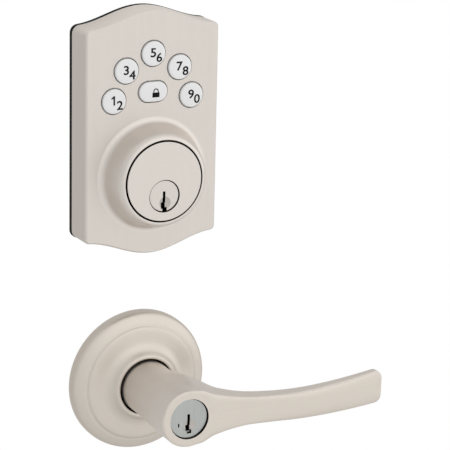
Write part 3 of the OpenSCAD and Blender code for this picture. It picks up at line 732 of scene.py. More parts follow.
class LOCK_OT_keys(bpy.types.Operator):
    """Five round keys with two digits each, and the lock key with its padlock sign"""

    bl_idname = "lock.keys"
    bl_label = "Keys"

    def execute(self, context):
        settings = context.scene.lock_keys
        crown = settings.crown / MM
        mark_y = KEY_FRONT - crown + 0.06
        levels = key_levels(crown)
        for name in KEY_NODES:
            x, z = middle(name)
            profile = [(0, levels[0][1]), *[(KEY_R - i, y) for i, y in levels], (0, levels[-1][1])]
            body = name.replace("button", "key")
            cap = built(
                name.replace("button", "round_key"), turned_mesh(profile, x, z, 96), FINISH["key"]
            )
            stands_for(settle(cap, 40), body, "key_white", name)
            marks = []
            for i, digit in enumerate(name.split("_")[1:]):
                if digit == "1":
                    mark = digit_one(settings.digit_height, 0.3 * MM)
                else:
                    mark = text_mesh(digit, settings.digit_height, 0.06 * MM)
                right, up = settings.digit_offset[2 * i : 2 * i + 2]
                mark.transform(Matrix.Translation((x * MM + right, mark_y * MM, z * MM + up)))
                for v in mark.vertices:
                    out = math.hypot(v.co.x / MM - x, v.co.z / MM - z)
                    v.co.y += sag(KEY_R - out, crown) * MM
                marks.append(mark)
            digits = built(name.replace("button", "digits"), joined(*marks), FINISH["ink"])
            stands_for(digits, body, "key_white")
        x, z = middle("lock_button")
        rings = [at_depth(stadium(max(LONG_KEY_R - i, 0.02), 2.45), y, x, z) for i, y in levels]
        cap = built("long_key", stacked_mesh(rings), FINISH["key"])
        stands_for(settle(cap, 40), "key_lock", "key_white", "lock_button")
        self.padlock(x + 1.08, z, mark_y)
        return {"FINISHED"}

    def padlock(self, x, z, y):
        """Flat padlock sign."""
        case = rounded_box((x - 1.85, y - 0.1, z - 2.6), (x + 1.85, y + 0.1, z - 0.25), 0.09)
        outer, inner, leg = 1.35, 0.88, 0.35
        angles = [math.pi * i / 16 for i in range(17)]
        line = [
            (outer, -0.4), *[(outer * math.cos(a), leg + outer * math.sin(a)) for a in angles],
            (-outer, -0.4)
        ]
        back = [
            (-inner, -0.4), *[(-inner * math.cos(a), leg + inner * math.sin(a)) for a in angles],
            (inner, -0.4)
        ]
        count = len(line)
        points, faces = [], []
        for depth in (y - 0.1, y + 0.1):
            points += [(x + p, depth, z + q) for p, q in line]
            points += [(x + p, depth, z + q) for p, q in reversed(back)]
        for i in range(count - 1):
            a, b, c, d = i, i + 1, count + i + 1, count + i
            faces += [(a, b, c, d), tuple(2 * count + k for k in (d, c, b, a))]
            faces += [(a, 2 * count + a, 2 * count + b, b), (c, 2 * count + c, 2 * count + d, d)]
        for a, b in ((0, count), (count - 1, 2 * count - 1)):
            faces.append((a, b, 2 * count + b, 2 * count + a))
        sign = built("padlock_sign", joined(case, mesh_of(points, faces)), FINISH["ink"])
        stands_for(sign, "key_lock", "key_white")


# Cylinders


def key_slots(y, z, bottom):
    """Cutters that open the keyway's mouth, from its front to 4 mm in."""
    parts = [((-0.7, -3.4), (0.65, 2.25)), ((-1.6, -6.2), (0.45, -3.2)), ((-0.9, bottom), (1.45, -5.6))]
    return [rounded_box((a[0], y - 1, z + a[1]), (b[0], y + 4, z + b[1]), 0.08) for a, b in parts]


def dimple(x, y, z, r=3.0, depth=0.28):
    """Shallow round hollow in a face that looks along -Y."""
    ball = (r * r + depth * depth) / (2 * depth)
    profile = [(0, y + depth)]
    for i in range(1, 9):
        out = r * 1.3 * i / 8
        profile.append((out, y + depth - ball + math.sqrt(ball * ball - out * out)))
    profile += [(r * 1.3, y - 2), (0, y - 2)]
    return turned_mesh(profile, x, z, 64)


class LOCK_OT_cylinders(bpy.types.Operator):
    """Faces and plugs of the deadbolt's cylinder and the lever's cylinder"""

    bl_idname = "lock.cylinders"
    bl_label = "Cylinders"

    def execute(self, context):
        front = edge("deadbolt_cylinder", 1, 0) * MM

        def at_front(y):
            return lambda e: all(abs(v.co.y - y) < 2e-6 for v in e.verts) and fold_angle(e) > 60

        mesh = cad_copy("deadbolt_cylinder")
        eased(mesh, 0.3, at_front(front))
        face = built("cylinder_face", mesh, [FINISH["nickel_face"], FINISH["gap"]])
        # Walls in the face's gaps and the eased edge round the plug's bore get the black of painted
        # shade.
        paint(
            face, 1, lambda p,
            n: (
                abs(n.y) < 0.5 and front / MM + 0.35 < p.y < -27.2
            ) or (abs(n.y) < 0.98 and math.hypot(p.x, p.z) < 8.2)
        )
        stands_for(settle(face), ROOT, "satin_nickel", "deadbolt_cylinder")

        for node_name, body, name, z, finish, bottom in (
            ("deadbolt_plug", "key_plug", "key_plug", 0, "nickel_plug", -8.2),
            ("lever_plug", "outside_lever_plug", "lever_key_plug", LEVER_Z, "nickel_lever_plug", -7.5)
        ):
            low = edge(node_name, 1, 0)
            mesh = cad_copy(node_name)
            rim = edge(node_name, 0, 1) - 0.3
            eased(
                mesh, 0.27,
                lambda e: at_front(low * MM)(e) and all(
                    math.hypot(v.co.x / MM, v.co.z / MM - z) > rim for v in e.verts
                )
            )
            plug = built(name, mesh, [FINISH[finish], FINISH["gap"], FINISH["dimple"]])
            cut(plug, dimple(0.5, low, z - 3.4), *key_slots(low, z, bottom))
            # The dimple gets the darker nickel of painted shade.
            paint(
                plug, 2, lambda p,
                n: low + 0.004 < p.y < low + 0.5 and math.hypot(p.x - 0.5, p.z - z + 3.4) < 3.1
            )
            # Walls in the keyway get the black of painted shade.
            paint(
                plug, 1, lambda p,
                n: abs(p.x) < 1.6 and (
                    abs(n.y) < 0.05 or p.y > low + 1
                ) and -9 < p.z - z < 2.3 and p.y > low + 0.1
            )
            # A notch at the plug's left and its eased rim get the black of painted shade, a dark ring
            # round the plug.
            paint(
                plug, 1, lambda p,
                n: (
                    p.x < -4.8 and low + 0.1 < p.y < low + 1.6 and abs(p.z - z + 2.7) < 1
                ) or (math.hypot(p.x, p.z - z) > rim and p.y > low + 0.02)
            )
            stands_for(settle(plug), body, "satin_nickel", node_name)
        return {"FINISHED"}


# Roses


class LOCK_OT_roses(bpy.types.Operator):
    """Round roses outside and inside"""

    bl_idname = "lock.roses"
    bl_label = "Roses"

    def execute(self, context):
        rim = [(35.7, -0.3), (35.7, -2.6)]
        face = [
            (35.7, -2.6), (35.55, -3.8), (35.1, -5.0), (34.2, -6.0), (32.6, -6.9), (30.6, -7.75),
            (29.5, -8.05), (28.9, -8.6), (28.2, -9.05), (26.4, -9.45), (23.2, -9.95), (21.0, -10.4),
            (19.2, -11.15), (17.7, -12.3), (16.6, -13.7), (15.9, -14.5), (15.2, -14.8), (14.55, -14.75),
            (14.25, -14.4)
        ]
        back = [
            (14.2, -11.5), (15.4, -11), (18, -9.2), (23.5, -8.3), (28, -7.3), (33, -4.6), (34.2, -3),
            (34.2, 0), (35.4, 0)
        ]
        outside = [*rim, *curve_through(face)[1:], *back]
        inside = [(r, DOOR - y) for r, y in outside]
        for name, node_name, profile in (
            ("outside_rose", "exterior_rose", outside), ("inside_rose", "interior_rose", inside)
        ):
            mesh = turned_mesh(profile, z=LEVER_Z, around=180)
            rose = built(name, mesh, [FINISH["nickel_rose"], FINISH["gap"]])
            # The rose's inner bore gets the black of painted shade.
            paint(rose, 1, lambda p, n: math.hypot(p.x, p.z - LEVER_Z) < 14.26)
            stands_for(settle(rose, 45), ROOT, "satin_nickel", node_name)
        return {"FINISHED"}


# Levers


def soft_max(a, b, size):
    """Larger of two fields, with the crease between them rounded by a size."""
    share = np.maximum(size - np.abs(a - b), 0) / size
    return np.maximum(a, b) + share * share * size / 4


def soft_min(a, b, size):
    """Smaller of two fields, with the corner between them filled by a size."""
    return -soft_max(-a, -b, size)


# Places along the arm, and there: lower and upper edge, front, back and the squareness of the
# lower and the upper half
ARM = np.array(
    [
        [-4, -13.4, 13.6, -62.3, -40.0, 8.0, 8.0], [2, -13.4, 13.2, -62.3, -40.0, 8.0, 8.0],
        [10, -12.2, 11.6, -62.3, -42.0, 8.0, 8.0], [18, -10.2, 9.2, -62.3, -46.5, 8.0, 8.0],
        [30, -8.6, 6.5, -62.3, -51.0, 7.0, 8.0], [45, -9.4, 4.8, -62.25, -52.4, 4.0, 6.0],
        [60, -10.5, 4.2, -62.1, -53.0, 3.0, 4.6], [78, -10.7, 5.0, -61.7, -53.6, 2.8, 4.2],
        [94, -9.9, 6.8, -61.3, -54.4, 3.0, 4.2], [103, -9.1, 8.2, -61.1, -55.0, 3.2, 4.2],
        [112, -8.2, 9.6, -60.9, -55.4, 3.2, 4.2]
    ]
)


def smooth_table(x, column):
    """Column of the arm's table at each x, eased between its rows."""
    rows = ARM[:, 0]
    i = np.clip(np.searchsorted(rows, x) - 1, 0, len(rows) - 2)
    slope = np.gradient(column, rows)
    step = rows[i + 1] - rows[i]
    t = np.clip((x - rows[i]) / step, 0, 1)
    return (
        (2 * t**3 - 3 * t**2 + 1) * column[i]
        + (t**3 - 2 * t**2 + t) * step * slope[i]
        + (3 * t**2 - 2 * t**3) * column[i + 1]
        + (t**3 - t**2) * step * slope[i + 1]
    )


def lever_field(x, y, z, blend):
    """Distance-like field of the lever, negative inside, in millimetres. Z is from its axis."""
    neck_r = 13.25 + 0.85 * np.clip((-y - 24) / 24, 0, 1) ** 1.5
    neck = np.maximum(np.hypot(x, z) - neck_r, y + 8)
    low, high, front, back, lower, upper = (smooth_table(x, ARM[:, i]) for i in range(1, 7))
    half_y, half_z = (back - front) / 2, (high - low) / 2
    rise = (z - (low + high) / 2) / half_z
    square = lower + (upper - lower) * np.clip(0.5 + rise, 0, 1)
    across = np.abs(y - (front + back) / 2) / half_y
    ring = (across**square + np.abs(rise) ** square) ** (1 / square)
    arm = (ring - 1) * np.minimum(half_y, half_z)
    corner = np.clip(np.abs(z + 0.5) - 5.4, 0, None)
    arm = soft_max(arm, x - 107 + 0.2 * corner**2 - 0.01 * z, 1.3)
    arm = soft_max(arm, 7 - x, 2.0)
    depth = np.clip((y + 61) / 10, 0, 1)
    whole = soft_min(neck, arm, 4.0 + (blend - 4.0) * depth * depth * (3 - 2 * depth))
    return soft_max(whole, LEVER_FRONT - y, 0.9)


def skin(field, low, high, step):
    """Quads over the surface where a field is zero, on a grid of one step (surface nets)."""
    axes = [np.arange(a - 2 * step, b + 2 * step, step) for a, b in zip(low, high)]
    grid = np.stack(np.meshgrid(*axes, indexing="ij"), -1)
    value = field(grid[..., 0], grid[..., 1], grid[..., 2])
    cells = tuple(n - 1 for n in value.shape)
    total, count = np.zeros((*cells, 3)), np.zeros(cells)

    def corner(offset):
        return tuple(slice(o, o + n) for o, n in zip(offset, cells))

    for axis in range(3):
        for side in range(4):
            start = [0, 0, 0]
            start[(axis + 1) % 3], start[(axis + 2) % 3] = side & 1, side >> 1
            end = list(start)
            end[axis] = 1
            a, b = value[corner(start)], value[corner(end)]
            crossed = (a < 0) != (b < 0)
            t = np.where(crossed, a / np.where(crossed, a - b, 1), 0)
            place = grid[corner(start)] + t[..., None] * (grid[corner(end)] - grid[corner(start)])
            total += np.where(crossed[..., None], place, 0)
            count += crossed
    used = count > 0
    number = np.full(cells, -1)
    number[used] = np.arange(used.sum())
    points = total[used] / count[used][:, None]
    faces = []
    for axis in range(3):
        one, two = (axis + 1) % 3, (axis + 2) % 3
        near = [slice(1, n) for n in cells]
        near[axis] = slice(0, cells[axis])
        far = list(near)
        far[axis] = slice(1, cells[axis] + 1)
        a, b = value[tuple(near)], value[tuple(far)]
        quads = []
        for back_one, back_two in ((1, 1), (0, 1), (0, 0), (1, 0)):
            pick = [None] * 3
            pick[axis] = slice(0, cells[axis])
            pick[one] = slice(1 - back_one, cells[one] - back_one)
            pick[two] = slice(1 - back_two, cells[two] - back_two)
            quads.append(number[tuple(pick)])
        quads = np.stack(quads, -1)
        faces.append(quads[(a < 0) & (b >= 0)])
        faces.append(quads[(a >= 0) & (b < 0)][:, ::-1])
    for _ in range(3):
        here = field(*points.T)
        reach = 0.02
        slope = np.stack(
            [
                (field(*(points + shift).T) - field(*(points - shift).T)) / (2 * reach)
                for shift in np.eye(3) * reach
            ],
            -1
        )
        move = (here / np.maximum((slope**2).sum(-1), 0.05))[:, None] * slope
        points = points - np.clip(move, -step / 3, step / 3)
    return points, np.concatenate(faces)


class LOCK_OT_levers(bpy.types.Operator):
    """Levers outside and inside, each one skin from its neck to its tip"""

    bl_idname = "lock.levers"
    bl_label = "Levers"

    def execute(self, context):
        settings = context.scene.lock_lever
        points, faces = skin(
            lambda x, y, z: lever_field(x, y, z, settings.blend / MM), (-16, -63, -17), (108, -8, 17),
            settings.mesh_step / MM
        )
        points = points + np.array([0, 0, LEVER_Z])
        tube = [(5.9, -24.5), (11.05, -24.5), (11.05, 0), (0, 0)]
        core = [(0, -64), (10.05, -64), (10.05, -36), (5.9, -36), *tube]
        button = [(0, -64), (8.7, -64), (8.7, -60.1), (3.4, -60.1), (3.4, -31), (5.9, -31), *tube]
        for name, node_name, hollow, inside in (
            ("outside_lever", "exterior_lever", core, False),
            ("inside_lever", "interior_lever", button, True)
        ):
            mesh = mesh_of(points.tolist(), faces.tolist(), recalculate=False)
            finishes = [FINISH["nickel_level"], FINISH["gap"], FINISH["nickel_neck"]]
            lever = built(name, mesh, finishes)
            cut(lever, turned_mesh(hollow, z=LEVER_Z, around=96))
            if inside:
                lever.data.transform(
                    Matrix.Translation((0, DOOR * MM, 0)) @ Matrix.Diagonal((1, -1, 1, 1))
                )
                lever.data.flip_normals()
            # The neck and the arm's top and side faces get the brighter nickel of painted light; its
            # strokes run along Y.
            paint(
                lever, 2, lambda p,
                n: abs(n.y) < 0.6 and (n.z > -0.3 or math.hypot(p.x, p.z - LEVER_Z) < 14.3)
            )
            # Walls of the bore behind the lever's front get the black of painted shade.
            paint(
                lever, 1, lambda p,
                n: math.hypot(p.x, p.z - LEVER_Z) < 10.2 and 0.02 < (
                    p.y if not inside else DOOR - p.y
                ) - LEVER_FRONT < 50
            )
            lever.data.polygons.foreach_set("use_smooth", [True] * len(lever.data.polygons))
            lever.data.set_sharp_from_angle(angle=math.radians(38))
            stands_for(lever, name, "satin_nickel", node_name)
        return {"FINISHED"}


# Bolt, latch and the parts between the two halves

# CAD node, new piece, finish, body, slot, easing in millimetres
EASED_PARTS = [
    ("deadbolt_bolt", "deadbolt_bar", "steel_level", "deadbolt", "steel", 0.5),
    ("deadbolt_tube", "deadbolt_sleeve", "steel_level", ROOT, "steel", 0.25),
    ("deadbolt_case", "deadbolt_side_plates", "steel_level", ROOT, "steel", 0.2),
    ("deadbolt_cam", "deadbolt_crank", "brass", "thumbturn_shaft", "brass", 0.2),
    ("deadbolt_faceplate", "deadbolt_edge_plate", "nickel_upright", ROOT, "satin_nickel", 0.3),
    ("latch_bolt", "latch_bar", "steel_level", "latch", "steel", 0.4),
    ("latch_tube", "latch_sleeve", "steel_level", ROOT, "steel", 0.25),
    ("latch_case", "latch_side_plates", "steel_level", ROOT, "steel", 0.2),
    ("latch_cam", "latch_arm", "brass", "outside_lever", "brass", 0.2),
    ("latch_faceplate", "latch_edge_plate", "nickel_upright", ROOT, "satin_nickel", 0.3),
    ("exterior_chassis", "cylinder_plate", "cast", ROOT, "cast_chassis", 0.3),
    ("exterior_rose_liner", "outside_rose_plate", "steel_turned", ROOT, "steel", 0.25),
    ("interior_rose_liner", "inside_rose_plate", "steel_turned", ROOT, "steel", 0.25),
    ("exterior_drive_tube", "outside_drive_sleeve", "steel_turned", "outside_lever", "steel", 0.2),
    ("interior_drive_tube", "inside_drive_sleeve", "steel_turned", "inside_lever", "steel", 0.2),
    ("drive_bar", "square_spindle", "steel_turned", "outside_lever", "steel", 0.35),
    ("locking_bar", "button_rod", "brass", "inside_turn_button", "brass", 0.3),
    ("torque_blade", "tail_blade", "steel_turned", "thumbturn_shaft", "steel", 0.25),
    ("interior_plate", "inside_mounting_plate", "steel_upright", ROOT, "steel", 0.25),
    ("interior_chassis", "inside_frame", "black", ROOT, "black_plastic", 0.2),
    ("lever_cylinder", "lever_core", "steel_turned", "outside_lever", "satin_nickel", 0.2),
    ("turn_button", "privacy_button", "nickel_upright", "inside_turn_button", "satin_nickel", 0.5),
    ("gear_motor", "motor_can", "steel_turned", ROOT, "steel", 0.4)
]
# CAD nodes that keep their own shape, and their finish
KEPT_PARTS = {
    "key_pins": "brass", "driver_pins": "brass", "cylinder_clip": "bright_steel",
    "keypad_membrane": "rubber"
}


class LOCK_OT_door_parts(bpy.types.Operator):
    """Bolt, latch, plates and shafts with eased edges"""

    bl_idname = "lock.door_parts"
    bl_label = "Door parts"

    def execute(self, context):
        for node_name, name, finish, body, slot, width in EASED_PARTS:
            mesh = cad_copy(node_name)
            eased(mesh, width, lambda e: fold_angle(e) > 40, 2)
            stands_for(settle(built(name, mesh, FINISH[finish])), body, slot, node_name)
        for node_name, finish in KEPT_PARTS.items():
            slots = NODES[node_name].data.materials
            slots.clear()
            slots.append(FINISH[finish])
        return {"FINISHED"}


# Inside unit

CELL_XS = (-22.8, -7.6, 7.6, 22.8)
BOARD_THICK = 1.6


# Half width, top and bottom shoulders and rise of the arch
INSIDE_HALF, INSIDE_TOP, INSIDE_BOTTOM, INSIDE_RISE = 37, 107, -30, 3


def inside_ring(y, inset, r):
    """Outline of the inside cover at one depth."""
    outline = arched(INSIDE_HALF - inset, INSIDE_TOP - inset, INSIDE_BOTTOM + inset, INSIDE_RISE, r)
    return at_depth(outline, y)


def inside_shell(name, low, high):
    """Part of the inside cover's shell between two heights."""
    front = INSIDE_FRONT
    # Depth, draw and corner radius
    sections = [
        (DOOR + 0.5, 0.3, 6.8), (DOOR + 0.8, 0, 7), (front - 6, 0.3, 7), (front - 4.4, 0.55, 6.8)
    ]
    sections += [(front - 3.2 * a, 0.9 + 3.1 * b, 6.6 - 1.6 * b) for a, b in quarter()]
    shell = built(name, stacked_mesh([inside_ring(*section) for section in sections]), [])
    cut(shell, stacked_mesh([inside_ring(y, 2.3, 5) for y in (0, front - 2)]))
    cut(shell, rounded_box((-60, 0, low), (60, 120, high), 0.01), operation="INTERSECT")
    return shell


def across_front(e, z):
    """Whether an edge lies on a level cut."""
    return all(abs(v.co.z / MM - z) < 1e-3 for v in e.verts) and fold_angle(e) > 50


class LOCK_OT_inside_unit(bpy.types.Operator):
    """Inside cover, battery cover, thumbturn, cells and boards"""

    bl_idname = "lock.inside_unit"
    bl_label = "Inside unit"

    def execute(self, context):
        split = edge("interior_cover", 2, 1)
        cover = inside_shell("inside_cover", -60, split)
        screw_x, screw_z = abs(edge("cover_screws", 0, 0)) - 2.8, edge("cover_screws", 2, 0) + 2.8
        out, deep = INSIDE_FRONT + 1, DOOR
        holes = [bore(1.7, out, deep, x, screw_z, 32) for x in (-screw_x, screw_x)]
        cut(cover, bore(12.6, out, deep), *holes)
        front = INSIDE_FRONT * MM
        eased(
            cover.data, 0.35,
            lambda e: (
                all(abs(v.co.y - front) < 1e-6 for v in e.verts) and fold_angle(e) > 60
            ) or across_front(e, split)
        )
        cover.data.materials.append(FINISH["nickel_upright"])
        stands_for(settle(cover), ROOT, "satin_nickel", "interior_cover")

        low = edge("battery_cover", 2, 0)
        lid = inside_shell("battery_lid", low, 150)
        grips = [
            rounded_box((-11, INSIDE_FRONT - 0.9, z), (11, INSIDE_FRONT + 3, z + 1.4), 0.5)
            for z in (94, 97, 100)
        ]
        cut(lid, *grips)
        eased(lid.data, 0.35, lambda e: across_front(e, low))
        lid.data.materials.append(FINISH["black"])
        stands_for(settle(lid), "battery_door", "black_plastic", "battery_cover")

        self.thumbturn()
        self.cells()
        self.boards()
        return {"FINISHED"}

    def thumbturn(self):
        """Turned base with an oval grip that tapers to its edge."""
        hub = INSIDE_FRONT - 3
        shaft_y, top = edge("thumbturn", 1, 0), edge("thumbturn", 1, 1)
        base = [(12, 0.3), (12, 4.6), (11.6, 5.6), (10.8, 6), (9.4, 6.1), (7, 6.6), (0, 7.2)]
        base = curve_through([(r, hub + y) for r, y in base])
        mesh = turned_mesh([(0, shaft_y), (5, shaft_y), (5, hub), (11.7, hub), *base], around=96)
        # Depth, and half sizes across and along
        sections = [
            (hub + 5, 4.5, 17.0), (hub + 7, 4.1, 16.9), (hub + 9, 3.7, 16.9), (hub + 13, 3.4, 16.9),
            (top - 3, 3.3, 16.9), (top - 1.6, 3.1, 16.6), (top - 0.6, 2.5, 15.9), (top, 1.2, 14.4)
        ]
        turns = [2 * math.pi * i / 64 for i in range(64)]
        ways = [(math.cos(a), math.sin(a)) for a in turns]
        oval = [(math.copysign(abs(c) ** 0.8, c), math.copysign(abs(s) ** 0.62, s)) for c, s in ways]
        rings = [[(thin * x, y, long * z) for x, z in oval] for y, thin, long in sections]
        grip = built("thumb_grip", joined(mesh, stacked_mesh(rings)), FINISH["nickel_upright"])
        stands_for(settle(grip, 45), "thumbturn_shaft", "satin_nickel", "thumbturn")

    def cells(self):
        """Four cells, each with a wrap, a band and metal ends."""
        low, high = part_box("batteries")
        z0, z1, r = low.z / MM, high.z / MM, 7.1
        y = (low.y + high.y) / 2 / MM
        can = [(0, 0.4), (4.5, 0.4), (5, 0), (6.2, 0), (6.8, 0.3), (r, 1)]
        can = curve_through([(out, z0 + up) for out, up in can], 3)
        cap = [
            (r + 0.03, 2.2), (6.8, 1.4), (6.2, 1.2), (3.4, 1.2), (2.7, 1.1), (2.7, 0.2), (2.4, 0),
            (0, 0)
        ]
        rest = [(r, z0 + 14), (r + 0.03, z0 + 14.1), *[(out, z1 - down) for out, down in cap]]
        meshes = []
        for x in CELL_XS:
            mesh = turned_mesh([*can, *rest], around=64)
            mesh.transform(Matrix.Rotation(math.pi / 2, 4, "X"))
            mesh.transform(Matrix.Translation((x * MM, y * MM, 0)))
            meshes.append(mesh)
        cells = built(
            "cells", joined(*meshes), [FINISH["wrap"], FINISH["band"], FINISH["bright_steel"]]
        )
        paint(cells, 1, lambda p, n: z0 + 0.9 < p.z < z0 + 14)
        paint(cells, 2, lambda p, n: not z0 + 0.7 < p.z < z1 - 1.6)
        stands_for(settle(cells, 35), ROOT, "cell_wrap", "batteries")

    def boards(self):
        """Both circuit boards with their parts."""
        names = {"keypad_circuit_board": "keypad_board", "interior_circuit_board": "control_board"}
        for node_name, name in names.items():
            board = built(name, cad_copy(node_name), [FINISH["board"], FINISH["chip"]])
            top = edge(node_name, 1, 0) + BOARD_THICK + 0.05
            paint(board, 1, lambda p, n: p.y > top)
            stands_for(settle(board), ROOT, "circuit_board", node_name)


# Repeated parts made by geometry nodes

THREAD_PITCH = 0.8 * MM


def new_tree(name, sizes):
    """Geometry node tree with named number inputs and a material input."""
    tree = bpy.data.node_groups.new(name, "GeometryNodeTree")
    face = tree.interface
    face.new_socket("Geometry", in_out="INPUT", socket_type="NodeSocketGeometry")
    for label, value in sizes.items():
        socket = face.new_socket(label, in_out="INPUT", socket_type="NodeSocketFloat")
        socket.default_value = value
    face.new_socket("Finish", in_out="INPUT", socket_type="NodeSocketMaterial")
    face.new_socket("Geometry", in_out="OUTPUT", socket_type="NodeSocketGeometry")
    return tree, node(tree, "NodeGroupInput"), node(tree, "NodeGroupOutput")


def end_tree(tree, start, end, geometry):
    """Realises a tree's instances and gives them the finish."""
    real = first(tree, "GeometryNodeRealizeInstances", {0: geometry})
    inputs = {"Geometry": real, "Material": start.outputs["Finish"]}
    tree.links.new(first(tree, "GeometryNodeSetMaterial", inputs), end.inputs[0])
    return tree


def on_points(tree, start, end, shape, turn):
    """Ends a tree with a turned shape on each of its points."""
    inputs = {"Points": start.outputs[0], "Instance": shape, "Rotation": turn}
    return end_tree(tree, start, end, first(tree, "GeometryNodeInstanceOnPoints", inputs))


def gathered(tree, made, socket, *geometry):
    """First output of a node that takes several meshes in one socket."""
    for each in geometry:
        tree.links.new(each, made.inputs[socket])
    return made.outputs[0]


def scaled(tree, value, factor):
    """Value times a factor."""
    return worked(tree, "MULTIPLY", value, factor)


def changed(tree, geometry, **change):
    """Geometry moved, turned or stretched."""
    return first(tree, "GeometryNodeTransform", {"Geometry": geometry, **change})


def raised(tree, geometry, z):
    """Geometry moved along Z."""
    return changed(tree, geometry, Translation=vector(tree, z=z))


def cone(tree, bottom, top, height, sides=32):
    """Cone with a cut-off point, standing on its base."""
    sizes = {"Vertices": sides, "Radius Top": top, "Radius Bottom": bottom, "Depth": height}
    return first(tree, "GeometryNodeMeshCone", sizes)


def wound(tree, turns, radius, height, wire, steps, sides):
    """Wire wound along Z."""
    sizes = {"Resolution": steps, "Rotations": turns, "Height": height}
    sizes.update({"Start Radius": radius, "End Radius": radius})
    path = first(tree, "GeometryNodeCurveSpiral", sizes)
    section = {"Resolution": sides, "Radius": wire}
    section = first(tree, "GeometryNodeCurvePrimitiveCircle", section, mode="RADIUS")
    return first(tree, "GeometryNodeCurveToMesh", {0: path, 1: section, "Fill Caps": True})


def screw_tree():
    """Round headed screws with a cross recess and a thread, one on each point, heads towards -Y."""
    sizes = {
        "Head Radius": 0.004, "Head Height": 0.0022, "Shank Radius": 0.002, "Shank Length": 0.04,
        "Turn": 0.0
    }
    tree, start, end = new_tree("Screws", sizes)
    head_r, head_h, shank_r, shank_l, turn = start.outputs[1:6]
    # Head: an eased rim under a shallow cap, with a cross cut into it
    shoulder, rim_h = scaled(tree, head_r, 0.92), scaled(tree, head_h, 0.55)
    rim = cone(tree, head_r, shoulder, rim_h)
    cap = cone(tree, shoulder, scaled(tree, head_r, 0.55), scaled(tree, head_h, 0.449))
    solid = node(tree, "GeometryNodeMeshBoolean", operation="UNION")
    solid = gathered(tree, solid, 1, rim, raised(tree, cap, rim_h))
    bars = []
    for across, along in ((1.15, 0.24), (0.24, 1.15)):
        size = [scaled(tree, head_r, across), scaled(tree, head_r, along), scaled(tree, head_h, 1.1)]
        bar = first(tree, "GeometryNodeMeshCube", {"Size": vector(tree, *size)})
        bars.append(raised(tree, bar, head_h))
    head = node(tree, "GeometryNodeMeshBoolean", {0: solid}, operation="DIFFERENCE")
    head = gathered(tree, head, 1, *bars)
    # Shank with a thread wound round it
    core, length = scaled(tree, shank_r, 0.86), scaled(tree, shank_l, 0.94)
    shank = first(tree, "GeometryNodeMeshCylinder", {"Vertices": 24, "Radius": core, "Depth": shank_l})
    shank = raised(tree, shank, scaled(tree, shank_l, -0.5))
    turns = worked(tree, "DIVIDE", length, THREAD_PITCH)
    thread = wound(tree, turns, core, length, scaled(tree, shank_r, 0.14), 14, 4)
    thread = raised(tree, thread, scaled(tree, shank_l, -0.98))
    whole = gathered(tree, node(tree, "GeometryNodeJoinGeometry"), 0, head, shank, thread)
    return on_points(tree, start, end, whole, vector(tree, turn))


def coil_tree():
    """Coil springs along Z, one on each point."""
    sizes = {"Radius": 0.002, "Wire": 0.0003, "Height": 0.01, "Coils": 6.0, "Turn": 0.0, "Roll": 0.0}
    tree, start, end = new_tree("Coils", sizes)
    radius, wire, height, coils, turn, roll = start.outputs[1:7]
    coil = wound(tree, coils, radius, height, wire, 24, 8)
    return on_points(tree, start, end, coil, vector(tree, turn, roll))


def gear_tree():
    """Spur gear about an axis along Y: a hub, and teeth repeated round it."""
    sizes = {
        "Teeth": 18.0, "Root Radius": 0.006, "Tip Radius": 0.008, "Width": 0.004, "Start Angle": 0.0
    }
    tree, start, end = new_tree("Gear", sizes)
    count, root, tip, width, angle = start.outputs[1:6]
    foot = scaled(tree, root, 0.985)
    number = first(tree, "FunctionNodeFloatToInt", {0: count})
    ring = first(tree, "GeometryNodeMeshCircle", {"Vertices": number, "Radius": foot})
    ring = changed(tree, ring, Rotation=(math.pi / 2, 0, 0))
    step = worked(tree, "DIVIDE", 2 * math.pi, count)
    base = scaled(tree, worked(tree, "MULTIPLY", root, step), 0.46)
    tooth = cone(tree, base, scaled(tree, base, 0.34), worked(tree, "SUBTRACT", tip, foot), 4)
    tooth = changed(tree, tooth, Rotation=(0, 0, math.pi / 4))
    stretch = worked(tree, "DIVIDE", width, scaled(tree, base, 1.415))
    tooth = changed(tree, tooth, Scale=vector(tree, 1, stretch, 1))
    place = first(tree, "GeometryNodeInputPosition")
    look = first(tree, "FunctionNodeAlignRotationToVector", {"Vector": place}, axis="Z", pivot_axis="Y")
    teeth = {"Points": ring, "Instance": tooth, "Rotation": look}
    teeth = first(tree, "GeometryNodeInstanceOnPoints", teeth)
    teeth = changed(tree, teeth, Rotation=vector(tree, y=angle))
    both = gathered(tree, node(tree, "GeometryNodeJoinGeometry"), 0, teeth, start.outputs[0])
    return end_tree(tree, start, end, both)


def grown(name, tree, base, finish, **sizes):
    """Plain mesh object that a tree makes from a base mesh. Sizes are the tree's inputs."""
    holder = bpy.data.objects.new("holder", base)
    bpy.context.scene.collection.objects.link(holder)
    step = holder.modifiers.new("grow", "NODES")
    step.node_group = tree
    for item in tree.interface.items_tree:
        if item.in_out != "INPUT" or item.name == "Geometry":
            continue
        key = item.name.lower().replace(" ", "_")
        step[item.identifier] = finish if item.name == "Finish" else float(sizes[key])
    mesh = evaluated_mesh(holder)
    bpy.data.objects.remove(holder)
    bpy.data.meshes.remove(base)
    mesh.materials.clear()
    return built(name, mesh, finish)


def dots(places):
    """Mesh of loose points, in millimetres."""
    made = bpy.data.meshes.new("dots")
    made.from_pydata([tuple(c * MM for c in p) for p in places], [], [])
    return made


